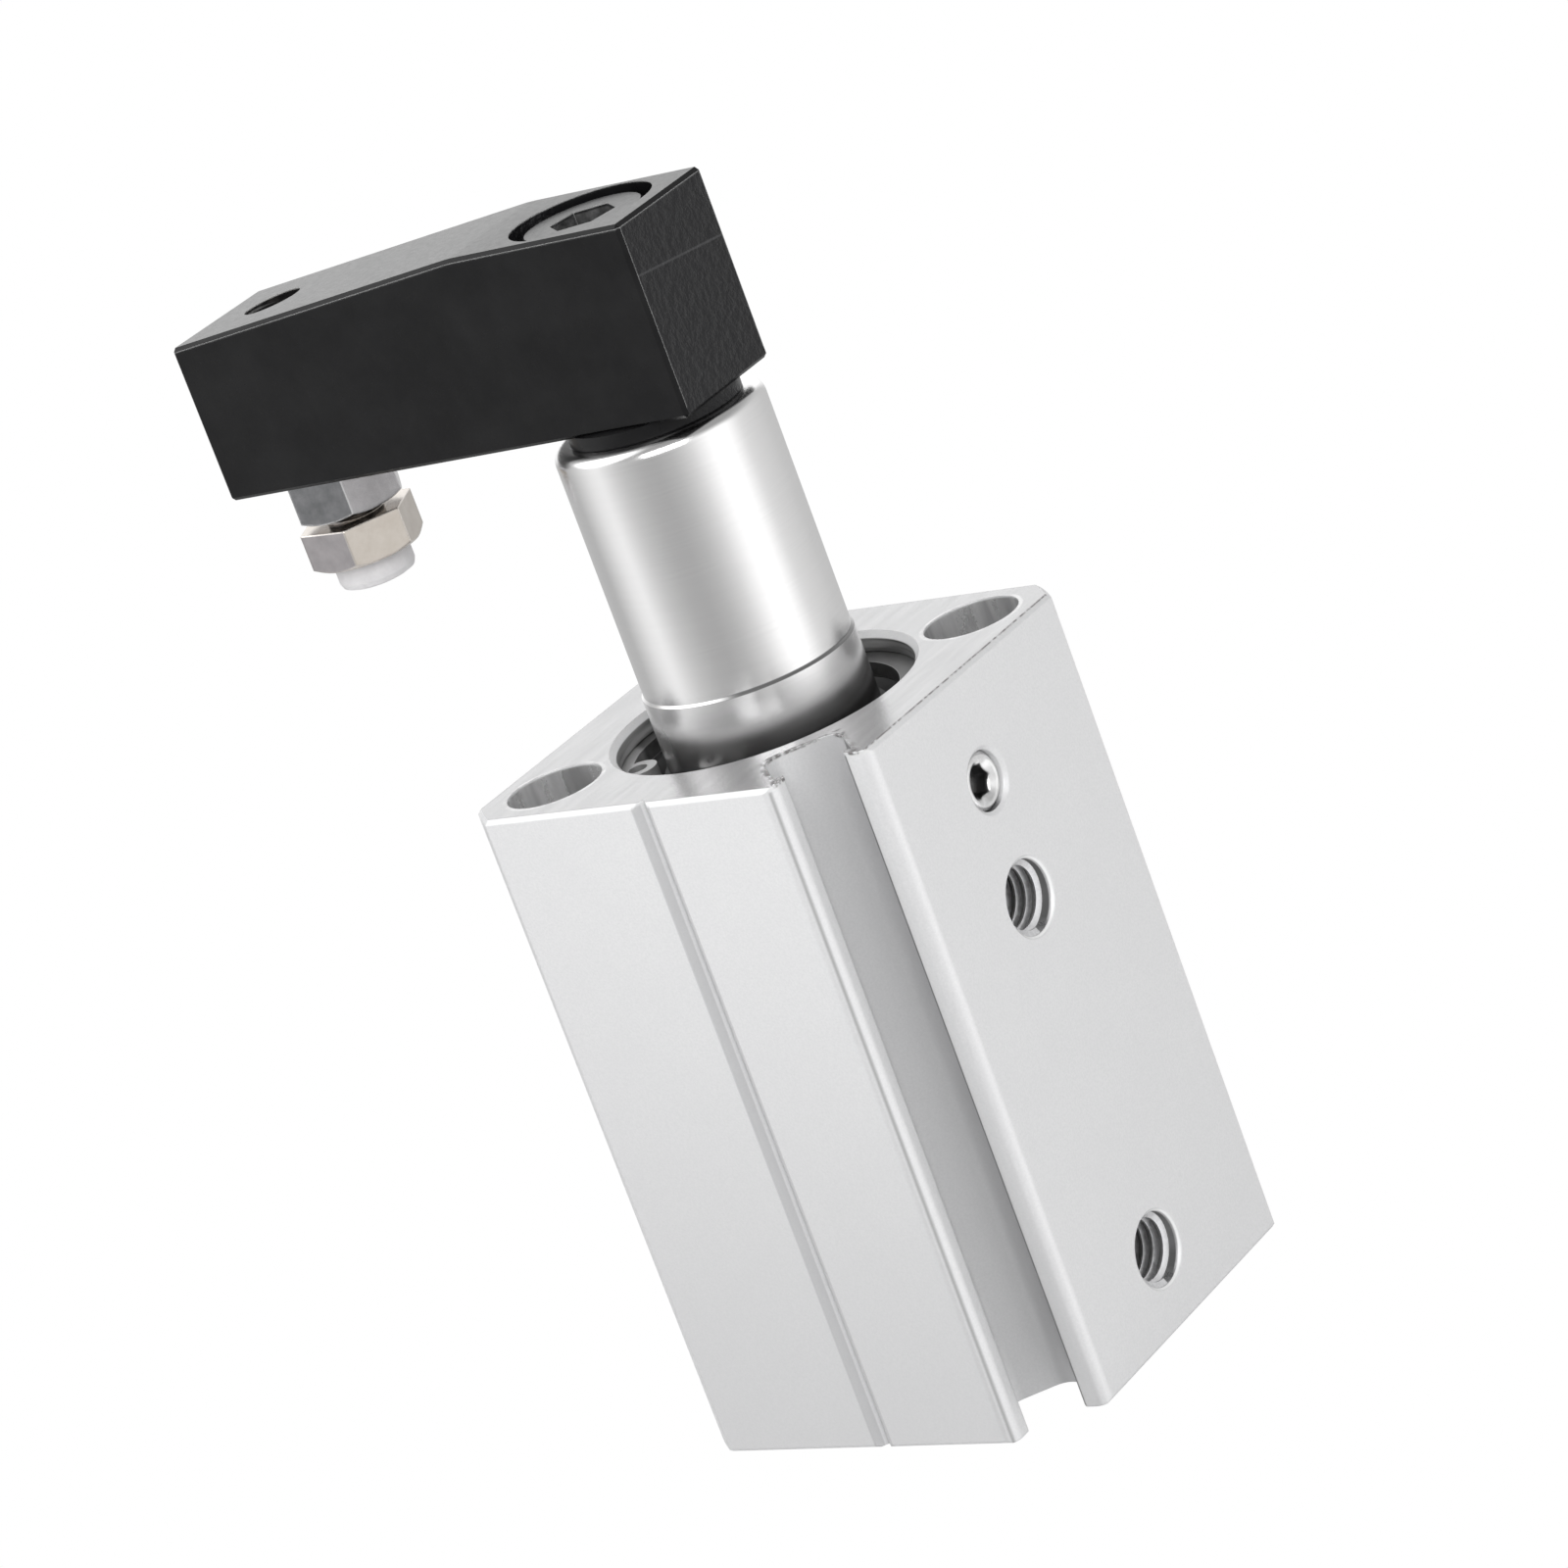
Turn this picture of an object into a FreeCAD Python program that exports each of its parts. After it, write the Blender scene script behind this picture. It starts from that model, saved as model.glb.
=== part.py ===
# Rotary clamp cylinder, 30 mm square body. Millimetres, +Z along the rod.
# The origin is the cylinder axis at the base face. The ports face +X, the sensor slot is the corner
# between +X and -Y, and the clamp arm points to -X with the rod fully out.
import FreeCAD, Part
import Sketcher
import math
import os
import re

Vec = FreeCAD.Vector
Z_AXIS = Vec(0, 0, 1)
Y_AXIS = Vec(0, 1, 0)

DIMS = {
    # fits
    "running_gap": 0.05,
    "static_gap": 0.03,
    "stop_gap": 0.3,
    # rod, with the bore that swallows the guide post
    "rod_d": 14.5,
    "rod_relief": 0.15,
    "rod_shoulder": 3.15,
    "rod_out": 20.2,
    "rod_round": 0.9,
    "rod_bore_spare": 1.5,
    "spigot_step": 1.25,
    # rod cover and what it carries, from the rod outwards and from the top down
    "bush_wall": 0.95,
    "nose_wall": 0.65,
    "scraper_wall": 2.0,
    "rod_seal_wall": 1.7,
    "cover_rim": 0.9,
    "cover_rod_gap": 0.3,
    "scraper_high": 2.05,
    "seal_web": 0.35,
    "rod_seal_high": 2.0,
    "bush_web": 0.9,
    "bush_long": 6.0,
    "nose_lip": 1.7,
    "nose_high": 2.3,
    "o_ring_above_step": 1.9,
    "o_ring_space": 1.3,
    "o_ring_deep": 1.05,
    "dimple_d": 3.2,
    "dimple_depth": 0.8,
    "rod_bumper_thick": 1.1,
    # retaining ring, its groove and its lugs
    "ring_sink": 1.4,
    "ring_thick": 1.0,
    "ring_side_gap": 0.05,
    "ring_bite": 0.5,
    "ring_band": 1.1,
    "ring_shift": 0.35,
    "ring_gap_angle": -120.0,
    "ring_gap_width": 5.6,
    "ring_lug_d": 2.6,
    "ring_lug_spread": 23.0,
    "ring_lug_hole_d": 1.3,
    # cylinder body
    "body_height": 46.7,
    "floor_thick": 3.2,
    "entry_step": 0.2,
    "rim_chamfer": 0.4,
    "side_wall": 1.497,
    "corner_wall": 1.95,
    "top_chamfer": 0.3,
    "base_chamfer": 0.2,
    "mark_width": 1.2,
    "mark_depth": 0.6,
    # sensor slot in one corner of the body
    "slot_web": 1.9,
    "slot_deep": 4.5,
    "slot_mouth": 4.0,
    "slot_chamber": 5.2,
    "slot_corner": 1.5,
    "lip_cut": 4.5,
    "lip_round": 0.9,
    "lip_tip_round": 0.3,
    # mounting holes, ports and the screw that locks the cover
    "bolt_hole_d": 3.4,
    "bolt_seat_d": 6.5,
    "bolt_seat_depth": 4.0,
    "seat_wall": 1.05,
    "port_thread_d": 5.0,
    "port_rim_d": 5.4,
    "port_depth": 4.2,
    "port_passage_d": 2.2,
    "head_port_above_floor": 2.3,
    "rod_port_below_step": 2.4,
    "lock_thread_d": 4.0,
    "lock_rim_d": 4.5,
    "lock_below_ring": 4.8,
    "lock_length": 5.0,
    "lock_sink": 0.35,
    "lock_flats": 2.0,
    "lock_dish_d": 3.0,
    "lock_dish_deep": 0.5,
    # piston
    "piston_long": 8.0,
    "piston_clear": 0.15,
    "land": 0.6,
    "wear_high": 2.0,
    "wear_wall": 1.0,
    "magnet_high": 1.8,
    "magnet_wall": 1.5,
    "seal_high": 1.8,
    "seal_wall": 2.05,
    "ring_split": 0.6,
    "inner_o_ring_d": 0.9,
    "inner_o_ring_drop": 1.9,
    "head_bumper_thick": 1.0,
    # guide post and the pin that follows its groove
    "post_d": 7.0,
    "post_over_pin": 6.4,
    "flange_lip": 1.5,
    "post_flange_high": 3.7,
    "post_screw_d": 3.0,
    "post_screw_head_d": 6.0,
    "post_screw_grip": 5.8,
    "post_screw_sink": 0.2,
    "post_screw_gap": 0.15,
    "post_dowel_d": 2.0,
    "post_dowel_long": 3.2,
    "post_dowel_circle": 5.9,
    "face_seal_d": 1.0,
    "face_seal_circle_d": 8.6,
    "pin_d": 2.5,
    "pin_above_piston_foot": 2.7,
    "groove_deep": 1.2,
    "pin_relief": 0.05,
    "pin_end_gap": 0.12,
    "swing_stroke": 8.0,
    "swing_angle": 90.0,
    # clamp arm
    "arm_angle": 2.7,
    "hub_high": 0.95,
    "arm_height": 13.05,
    "arm_back": 6.15,
    "arm_bend": 7.3,
    "arm_reach": 31.3,
    "arm_tip_drop": 2.15,
    "arm_width": 10.4,
    "arm_edge": 0.25,
    "hub_d": 11.6,
    "arm_seat_d": 9.6,
    "arm_seat_depth": 5.4,
    "arm_screw_d": 5.0,
    "arm_screw_long": 16.0,
    "arm_screw_head_d": 8.5,
    "arm_screw_head": 5.0,
    "arm_screw_flats": 4.0,
    "arm_screw_socket": 2.6,
    # clamp bolt, its lock nut and its pad
    "bolt_reach": 26.1,
    "bolt_thread_d": 4.0,
    "bolt_flats": 7.0,
    "nut_high": 3.2,
    "nut_turn": -49.9,
    "head_gap": 0.6,
    "head_high": 2.8,
    "head_turn": -64.9,
    "bolt_long": 14.5,
    "pad_d": 5.3,
    "pad_thick": 1.85,
    "pad_edge": 0.5,
    "pad_stem_d": 2.4,
    "pad_stem": 1.6,
}

# What follows from those sizes: widths from the rod outwards, then heights from the body's top.
FOLLOWING = {
    "rod_end_d": "rod_d - 2 * rod_relief",
    "spigot_d": "rod_d - 2 * spigot_step",
    "post_flange_d": "spigot_d + 2 * flange_lip",
    "entry_d": "rod_d + 2 * (running_gap + scraper_wall + cover_rim)",
    "bore_d": "entry_d - 2 * entry_step",
    "piston_d": "bore_d - 2 * piston_clear",
    "cover_nose_d": "rod_d + 2 * (running_gap + bush_wall + nose_wall)",
    "ring_groove_d": "entry_d + 2 * ring_bite",
    "ring_inner_d": "entry_d - 2 * ring_band",
    "bolt_circle_d": "entry_d + bolt_seat_d + 2 * seat_wall",
    "body_side": "bolt_circle_d / sqrt(2) + bolt_seat_d + 2 * side_wall",
    "corner_turn_d": "bolt_circle_d + bolt_seat_d + 2 * corner_wall",
    "slot_floor": "bore_d / 2 + slot_web",
    "slot_lip": "slot_floor + slot_deep",
    "lip_end": "body_side / 2 - lip_cut",
    "ring_bottom": "body_height - ring_sink - ring_thick",
    "lock_height": "ring_bottom - lock_below_ring",
    "scraper_bottom": "ring_bottom - scraper_high",
    "rod_seal_bottom": "scraper_bottom - seal_web - rod_seal_high",
    "bush_top": "rod_seal_bottom - bush_web",
    "bush_bottom": "bush_top - bush_long",
    "cover_nose_bottom": "bush_bottom - nose_lip",
    "entry_floor": "cover_nose_bottom + nose_high",
    "o_ring_bottom": "entry_floor + o_ring_above_step",
    "rod_port": "entry_floor - rod_port_below_step",
    "head_port": "floor_thick + head_port_above_floor",
    "piston_top": "cover_nose_bottom - rod_bumper_thick - stop_gap",
    "piston_foot": "piston_top - piston_long",
    "inner_o_ring_height": "piston_top - inner_o_ring_drop",
    "pin_height": "piston_foot + pin_above_piston_foot",
    "post_flange_top": "floor_thick + post_flange_high",
    "post_top": "pin_height + post_over_pin",
    "post_screw_tip": "floor_thick + post_screw_grip",
    "clamp_stroke": "piston_foot - head_bumper_thick - post_flange_top - swing_stroke",
    "rod_bore_top": "post_top + swing_stroke + clamp_stroke + rod_bore_spare",
    "rod_step": "body_height + rod_shoulder",
    "rod_top": "body_height + rod_out",
    "arm_bottom": "rod_top + hub_high",
    "arm_top": "arm_bottom + arm_height",
    "arm_screw_seat": "arm_top - arm_seat_depth",
    "nut_bottom": "arm_bottom - nut_high",
    "head_bottom": "nut_bottom - head_gap - head_high",
    "head_top": "head_bottom + head_high",
}

FUNCTIONS = {"sqrt", "cos", "sin", "tan", "deg"}

doc = FreeCAD.newDocument("rotary_clamp")
sheet = doc.addObject("Spreadsheet::Sheet", "Dims")
for row, (alias, entry) in enumerate((*DIMS.items(), *FOLLOWING.items()), start=1):
    sheet.set(f"A{row}", alias)
    sheet.set(f"B{row}", f"={entry}")
    sheet.setAlias(f"B{row}", alias)
doc.recompute()


def bound(text):
    """The expression that a size written with the table's names stands for."""
    def name(match):
        return match[0] if match[0] in FUNCTIONS else "Dims." + match[0]
    return re.sub(r"[a-z][a-z_]*", name, str(text))


def size(text):
    """The number that a size written with the table's names comes to now."""
    result = sheet.evalExpression(bound(text))
    return float(getattr(result, "Value", result))


def bind(obj, **sizes):
    """Tie properties of an object to the table."""
    for prop, text in sizes.items():
        obj.setExpression(prop, bound(text))


def place(obj, x="0", y="0", z="0", axis=Z_AXIS, angle="0"):
    """Turn an object about an axis through the origin, then move it, both tied to the table."""
    if size(angle):
        turn = FreeCAD.Rotation(axis, size(angle))
        obj.Placement = FreeCAD.Placement(Vec(), turn)
        obj.setExpression(".Placement.Rotation.Angle", f"({bound(angle)}) * 1 deg")
    for part, text in zip("xyz", (x, y, z)):
        obj.setExpression(f".Placement.Base.{part}", bound(text))


def new_body(name):
    return doc.addObject("PartDesign::Body", name)


def new_sketch(body, name, role):
    sketch = body.newObject("Sketcher::SketchObject", name)
    plane = next(item for item in body.Origin.OriginFeatures if item.Role == role)
    sketch.AttachmentSupport = [(plane, "")]
    sketch.MapMode = "FlatFace"
    return sketch


def hold_point(sketch, geometry, position, x, y):
    """Fix one end of a line at a point given by two sizes."""
    if str(x) == "0":
        sketch.addConstraint(Sketcher.Constraint("PointOnObject", geometry, position, -2))
    else:
        row = sketch.addConstraint(Sketcher.Constraint("DistanceX", -1, 1, geometry, position, size(x)))
        sketch.setExpression(f"Constraints[{row}]", bound(x))
    if str(y) == "0":
        sketch.addConstraint(Sketcher.Constraint("PointOnObject", geometry, position, -1))
    else:
        row = sketch.addConstraint(Sketcher.Constraint("DistanceY", -1, 1, geometry, position, size(y)))
        sketch.setExpression(f"Constraints[{row}]", bound(y))


def draw(sketch, points):
    """A closed outline through points, each a pair of sizes."""
    corners = [Vec(size(x), size(y), 0) for x, y in points]
    lines = [
        sketch.addGeometry(Part.LineSegment(start, end), False)
        for start, end in zip(corners, corners[1:] + corners[:1])
    ]
    for line, following in zip(lines, lines[1:] + lines[:1]):
        sketch.addConstraint(Sketcher.Constraint("Coincident", line, 2, following, 1))
    for line, (x, y) in zip(lines, points):
        hold_point(sketch, line, 1, x, y)


def draw_circle(sketch, x, y, diameter):
    circle = sketch.addGeometry(Part.Circle(Vec(size(x), size(y), 0), Z_AXIS, size(diameter) / 2), False)
    hold_point(sketch, circle, 3, x, y)
    row = sketch.addConstraint(Sketcher.Constraint("Diameter", circle, size(diameter)))
    sketch.setExpression(f"Constraints[{row}]", bound(diameter))


def pad(body, name, points, height, base="0"):
    """Material above an outline drawn in the XY plane, from a base height."""
    sketch = new_sketch(body, name + "_sketch", "XY_Plane")
    draw(sketch, points)
    sketch.setExpression(".AttachmentOffset.Base.z", bound(base))
    feature = body.newObject("PartDesign::Pad", name)
    feature.Profile = sketch
    bind(feature, Length=height)
    return feature


def pocket_circles(body, name, centres, diameter, top, depth):
    """Round holes drilled down from a height."""
    sketch = new_sketch(body, name + "_sketch", "XY_Plane")
    for x, y in centres:
        draw_circle(sketch, x, y, diameter)
    sketch.setExpression(".AttachmentOffset.Base.z", bound(top))
    feature = body.newObject("PartDesign::Pocket", name)
    feature.Profile = sketch
    bind(feature, Length=depth)
    return feature


def turn(body, name, points, cut=False, axis_height=None):
    """Material, or a cut, turned about the Z axis or about a line along X at a height."""
    sketch = new_sketch(body, name + "_sketch", "XZ_Plane")
    draw(sketch, points)
    axis = "V_Axis"
    if axis_height is not None:
        height = size(axis_height)
        line = sketch.addGeometry(Part.LineSegment(Vec(1, height, 0), Vec(2, height, 0)), True)
        hold_point(sketch, line, 1, "1", axis_height)
        hold_point(sketch, line, 2, "2", axis_height)
        axis = "Axis0"
    kind = "PartDesign::Groove" if cut else "PartDesign::Revolution"
    feature = body.newObject(kind, name)
    feature.Profile = sketch
    feature.ReferenceAxis = (sketch, [axis])
    feature.Angle = 360
    return feature


def turned(name, points):
    """A whole sub-part turned about the Z axis from one outline of (radius, height) pairs."""
    body = new_body(name)
    turn(body, name + "_turned", points)
    return body


def finish_body(body, *features):
    body.Tip = features[-1]
    return body


def cylinder(name, diameter, bottom, height):
    shape = doc.addObject("Part::Cylinder", name)
    bind(shape, Radius=f"({diameter}) / 2", Height=height)
    place(shape, z=bottom)
    return shape


def hexagon(name, flats, bottom, height, angle="0", x="0"):
    """A six-sided prism, its first corner at an angle from +X."""
    prism = doc.addObject("Part::Prism", name)
    prism.Polygon = 6
    bind(prism, Circumradius=f"({flats}) / sqrt(3)", Height=height)
    place(prism, x=x, z=bottom, angle=angle)
    return prism


def boolean(kind, name, base, tool):
    result = doc.addObject("Part::" + kind, name)
    result.Base = base
    result.Tool = tool
    return result


def rectangle(inner, outer, bottom, top):
    """The outline of a plain ring, as (radius, height) pairs."""
    return [(inner, bottom), (outer, bottom), (outer, top), (inner, top)]


def slot_point(along, across):
    """A point of the sensor slot, by its distances along and across the corner's diagonal."""
    return (f"(({along}) + ({across})) / sqrt(2)", f"(({across}) - ({along})) / sqrt(2)")


# Cylinder body.

def body_outline():
    """The extruded section: a square with an index mark and a T-shaped slot in one corner."""
    half = "body_side / 2"
    side = "-body_side / 2"
    lip_tip = "lip_end * sqrt(2) + slot_mouth / 2"
    return [
        (side, side),
        ("-mark_width / 2", side), ("0", "mark_depth - body_side / 2"), ("mark_width / 2", side),
        ("lip_end", side),
        slot_point(lip_tip, "-slot_mouth / 2"),
        slot_point("slot_lip", "-slot_mouth / 2"),
        slot_point("slot_lip", "-slot_chamber / 2"),
        slot_point("slot_floor", "-slot_chamber / 2"),
        slot_point("slot_floor", "slot_chamber / 2"),
        slot_point("slot_lip", "slot_chamber / 2"),
        slot_point("slot_lip", "slot_mouth / 2"),
        slot_point(lip_tip, "slot_mouth / 2"),
        (half, "-lip_end"),
        (half, half), (side, half),
    ]


def bore_outline():
    """The blind bore, its wider entry, the retaining ring's groove and the chamfered rim."""
    ring_low = "ring_bottom - ring_side_gap"
    ring_high = "ring_bottom + ring_thick + ring_side_gap"
    above = "body_height + 1"
    return [
        ("0", "floor_thick"), ("bore_d / 2", "floor_thick"),
        ("bore_d / 2", "entry_floor"), ("entry_d / 2", "entry_floor"),
        ("entry_d / 2", ring_low), ("ring_groove_d / 2", ring_low),
        ("ring_groove_d / 2", ring_high), ("entry_d / 2", ring_high),
        ("entry_d / 2", "body_height - rim_chamfer"),
        ("entry_d / 2 + rim_chamfer", "body_height"),
        ("entry_d / 2 + rim_chamfer", above), ("0", above),
    ]


def port_outline(height):
    """One tapped port in the +X face, narrowing to the passage into the bore."""
    face = "body_side / 2"
    rim = f"{height} + port_rim_d / 2"
    thread = f"{height} + port_thread_d / 2"
    passage = f"{height} + port_passage_d / 2"
    thread_start = "body_side / 2 - (port_rim_d - port_thread_d) / 2"
    thread_end = "body_side / 2 - port_depth"
    return [
        ("bore_d / 2 - 1", height), (f"{face} + 1", height), (f"{face} + 1", rim), (face, rim),
        (thread_start, thread), (thread_end, thread), (thread_end, passage),
        ("bore_d / 2 - 1", passage),
    ]


def lock_hole_outline():
    face = "body_side / 2"
    rim = "lock_height + lock_rim_d / 2"
    thread = "lock_height + lock_thread_d / 2"
    thread_start = "body_side / 2 - (lock_rim_d - lock_thread_d) / 2"
    return [
        ("entry_d / 2 - 1", "lock_height"), (f"{face} + 1", "lock_height"),
        (f"{face} + 1", rim), (face, rim), (thread_start, thread), ("entry_d / 2 - 1", thread),
    ]


def outer_edges(shape, height):
    """Edges of one end face that lie on the body's four sides or on its turned corners."""
    half = size("body_side / 2")
    corner = size("corner_turn_d / 2")
    names = []
    for index, edge in enumerate(shape.Edges, start=1):
        ends = [vertex.Point for vertex in edge.Vertexes]
        if len(ends) != 2 or any(abs(end.z - height) > 1e-4 for end in ends):
            continue
        on_side = any(all(abs(abs(end[axis]) - half) < 1e-4 for end in ends) for axis in (0, 1))
        on_corner = all(abs(end.x * end.x + end.y * end.y - corner * corner) < 1e-2 for end in ends)
        if (on_side or on_corner) and edge.Length > 1.0:
            names.append(f"Edge{index}")
    return names


def chamfer_end(body, name, base, height, width):
    feature = body.newObject("PartDesign::Chamfer", name)
    feature.Base = (base, outer_edges(base.Shape, size(height)))
    bind(feature, Size=width)
    return feature


def upright_edges(shape, spots):
    """The edges along Z that stand on given points of the plan."""
    names = []
    for index, edge in enumerate(shape.Edges, start=1):
        ends = [vertex.Point for vertex in edge.Vertexes]
        upright = len(ends) == 2 and abs(ends[0].z - ends[1].z) > size("body_height") / 2
        if upright and any(ends[0].distanceToPoint(Vec(x, y, ends[0].z)) < 1e-3 for x, y in spots):
            names.append(f"Edge{index}")
    return names


def round_slot(body, base):
    """Round the slot's two lips, outside and at the mouth, and the corners of its floor."""
    half = size("body_side / 2")
    end = size("lip_end")
    tip = "lip_end * sqrt(2) + slot_mouth / 2"
    outside = [(end, -half), (half, -end)]
    mouth, floor = (
        [
            tuple(size(part) for part in slot_point(along, across))
            for across in (f"-{width} / 2", f"{width} / 2")
        ]
        for along, width in ((tip, "slot_mouth"), ("slot_floor", "slot_chamber"))
    )
    rounds = (("lips", outside, "lip_round"), ("lip_tips", mouth, "lip_tip_round"),
              ("floor_corners", floor, "slot_corner"))
    for name, spots, radius in rounds:
        fillet = body.newObject("PartDesign::Fillet", name)
        fillet.Base = (base, upright_edges(base.Shape, spots))
        bind(fillet, Radius=radius)
        doc.recompute()
        base = fillet
    return base


def make_cylinder_body():
    body = new_body("cylinder_body")
    pad(body, "section", body_outline(), "body_height")
    corner = "corner_turn_d / 2"
    turn(body, "corners", rectangle(corner, "body_side", "-1", "body_height + 1"), cut=True)
    turn(body, "bore", bore_outline(), cut=True)
    screw = "post_screw_d / 2 + post_screw_gap"
    seat = "post_screw_head_d / 2 + post_screw_gap"
    turn(body, "post_screw_hole", [
        ("0", "-1"), (seat, "-1"), (seat, "post_screw_sink"),
        (screw, f"post_screw_sink + {seat} - ({screw})"),
        (screw, "floor_thick + 1"), ("0", "floor_thick + 1"),
    ], cut=True)
    across = "bolt_circle_d / 2 / sqrt(2)"
    pair = [(across, across), (f"-{across}", f"-{across}")]
    pocket_circles(body, "bolt_holes", pair, "bolt_hole_d", "body_height", "body_height")
    pocket_circles(body, "bolt_seats", pair, "bolt_seat_d", "body_height", "bolt_seat_depth")
    dowel = [("0", "post_dowel_circle")]
    pocket_circles(body, "dowel_hole", dowel, "post_dowel_d", "floor_thick", "post_dowel_long / 2")
    turn(body, "head_port_hole", port_outline("head_port"), cut=True, axis_height="head_port")
    turn(body, "rod_port_hole", port_outline("rod_port"), cut=True, axis_height="rod_port")
    lock = turn(body, "lock_hole", lock_hole_outline(), cut=True, axis_height="lock_height")
    doc.recompute()
    top = chamfer_end(body, "top_edges", lock, "body_height", "top_chamfer")
    doc.recompute()
    base = chamfer_end(body, "base_edges", top, "0", "base_chamfer")
    doc.recompute()
    return finish_body(body, round_slot(body, base))


# Rod cover and the pieces it holds.

def make_rod_cover():
    """A turned cover: nose, bush seat from below, seal groove, scraper seat and O-ring groove."""
    outer = "entry_d / 2 - static_gap"
    bush = "rod_d / 2 + running_gap + bush_wall"
    free = "rod_d / 2 + cover_rod_gap"
    seal = "rod_d / 2 + running_gap + rod_seal_wall"
    scraper = "rod_d / 2 + running_gap + scraper_wall"
    ring_floor = f"{outer} - o_ring_deep"
    ring_top = "o_ring_bottom + o_ring_space"
    seal_top = "rod_seal_bottom + rod_seal_high"
    body = new_body("rod_cover")
    turn(body, "cover_turned", [
        (bush, "cover_nose_bottom"), ("cover_nose_d / 2", "cover_nose_bottom"),
        ("cover_nose_d / 2", "entry_floor"), (outer, "entry_floor"),
        (outer, "o_ring_bottom"), (ring_floor, "o_ring_bottom"), (ring_floor, ring_top),
        (outer, ring_top), (outer, "ring_bottom"),
        (scraper, "ring_bottom"), (scraper, "scraper_bottom"), (free, "scraper_bottom"),
        (free, seal_top), (seal, seal_top), (seal, "rod_seal_bottom"), (free, "rod_seal_bottom"),
        (free, "bush_top"), (bush, "bush_top"),
    ])
    dimple = turn(body, "lock_dimple", [
        ("entry_d / 2 - dimple_depth", "lock_height"), ("entry_d / 2 + 1", "lock_height"),
        ("entry_d / 2 + 1", "lock_height + dimple_d / 2"),
        ("entry_d / 2 - dimple_depth", "lock_height + dimple_d / 2"),
    ], cut=True, axis_height="lock_height")
    return finish_body(body, dimple)


def make_rod_bush():
    inner = "rod_d / 2 + running_gap"
    return turned("rod_bush", rectangle(inner, f"{inner} + bush_wall", "bush_bottom", "bush_top"))


def make_rod_seal():
    """A lip seal: a heel against the groove, and two lips with a channel between them."""
    inner = "rod_d / 2 + running_gap"
    outer = f"{inner} + rod_seal_wall"
    low = "rod_seal_bottom + 0.1"
    high = "rod_seal_bottom + rod_seal_high - 0.05"
    return turned("rod_seal", [
        (inner, low), (f"{inner} + 0.35", low), (f"{inner} + 0.8", f"{low} + 0.8"),
        (f"{outer} - 0.45", low), (outer, low), (outer, high), (f"{inner} + 0.2", high),
        (f"{inner} + 0.2", f"{low} + 0.9"), (inner, f"{low} + 0.5"),
    ])


def make_rod_scraper():
    """A wiper with its lip pointing up and inwards at the rod."""
    inner = "rod_d / 2 + running_gap"
    outer = f"{inner} + scraper_wall"
    low = "scraper_bottom"
    high = "ring_bottom - 0.05"
    return turned("rod_scraper", [
        (f"{inner} + 0.3", low), (outer, low), (outer, high), (f"{outer} - 0.6", high),
        (f"{inner} + 0.75", f"{low} + 1.1"), (f"{inner} + 0.35", f"{high} - 0.05"),
        (inner, f"{high} - 0.05"), (inner, f"{high} - 0.35"), (f"{inner} + 0.3", f"{low} + 0.9"),
    ])


def make_o_ring(name, section, circle, height):
    """A round-section ring lying flat."""
    ring = doc.addObject("Part::Torus", name)
    bind(ring, Radius1=f"({circle}) / 2", Radius2=f"({section}) / 2")
    place(ring, z=height)
    return ring


def make_cover_o_ring():
    section = "o_ring_deep + static_gap"
    circle = f"entry_d - ({section})"
    return make_o_ring("cover_o_ring", section, circle, "o_ring_bottom + o_ring_space / 2")


def make_retaining_ring():
    """An eccentric open ring with two drilled lugs, flat in the body's groove."""
    outer = cylinder("ring_outer", "ring_groove_d - 0.1", "ring_bottom", "ring_thick")
    inner = cylinder("ring_inner", "ring_inner_d", "ring_bottom - 1", "ring_thick + 2")
    inner.setExpression(".Placement.Base.x", bound("ring_shift * cos(ring_gap_angle * 1 deg)"))
    inner.setExpression(".Placement.Base.y", bound("ring_shift * sin(ring_gap_angle * 1 deg)"))
    band = boolean("Cut", "ring_band", outer, inner)
    opening = doc.addObject("Part::Box", "ring_opening")
    bind(opening, Length="ring_groove_d", Width="ring_gap_width", Height="ring_thick + 2")
    turn_angle = "ring_gap_angle"
    half = "ring_gap_width / 2"
    place(
        opening,
        x=f"{half} * sin({turn_angle} * 1 deg)",
        y=f"-{half} * cos({turn_angle} * 1 deg)",
        z="ring_bottom - 1",
        angle=turn_angle,
    )
    open_ring = boolean("Cut", "ring_open", band, opening)
    lugs = []
    holes = []
    for sign in "+-":
        at = f"(ring_gap_angle {sign} ring_lug_spread) * 1 deg"
        spot = {"x": f"ring_inner_d / 2 * cos({at})", "y": f"ring_inner_d / 2 * sin({at})"}
        lug = cylinder("lug" + str(len(lugs)), "ring_lug_d", "ring_bottom", "ring_thick")
        hole = cylinder("lug_hole" + str(len(lugs)), "ring_lug_hole_d", "ring_bottom - 1", "ring_thick + 2")
        place(lug, z="ring_bottom", **spot)
        place(hole, z="ring_bottom - 1", **spot)
        lugs.append(lug)
        holes.append(hole)
    whole = doc.addObject("Part::MultiFuse", "ring_with_lugs")
    whole.Shapes = [open_ring] + lugs
    drilled = doc.addObject("Part::MultiFuse", "lug_holes")
    drilled.Shapes = holes
    return boolean("Cut", "retaining_ring", whole, drilled)


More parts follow.
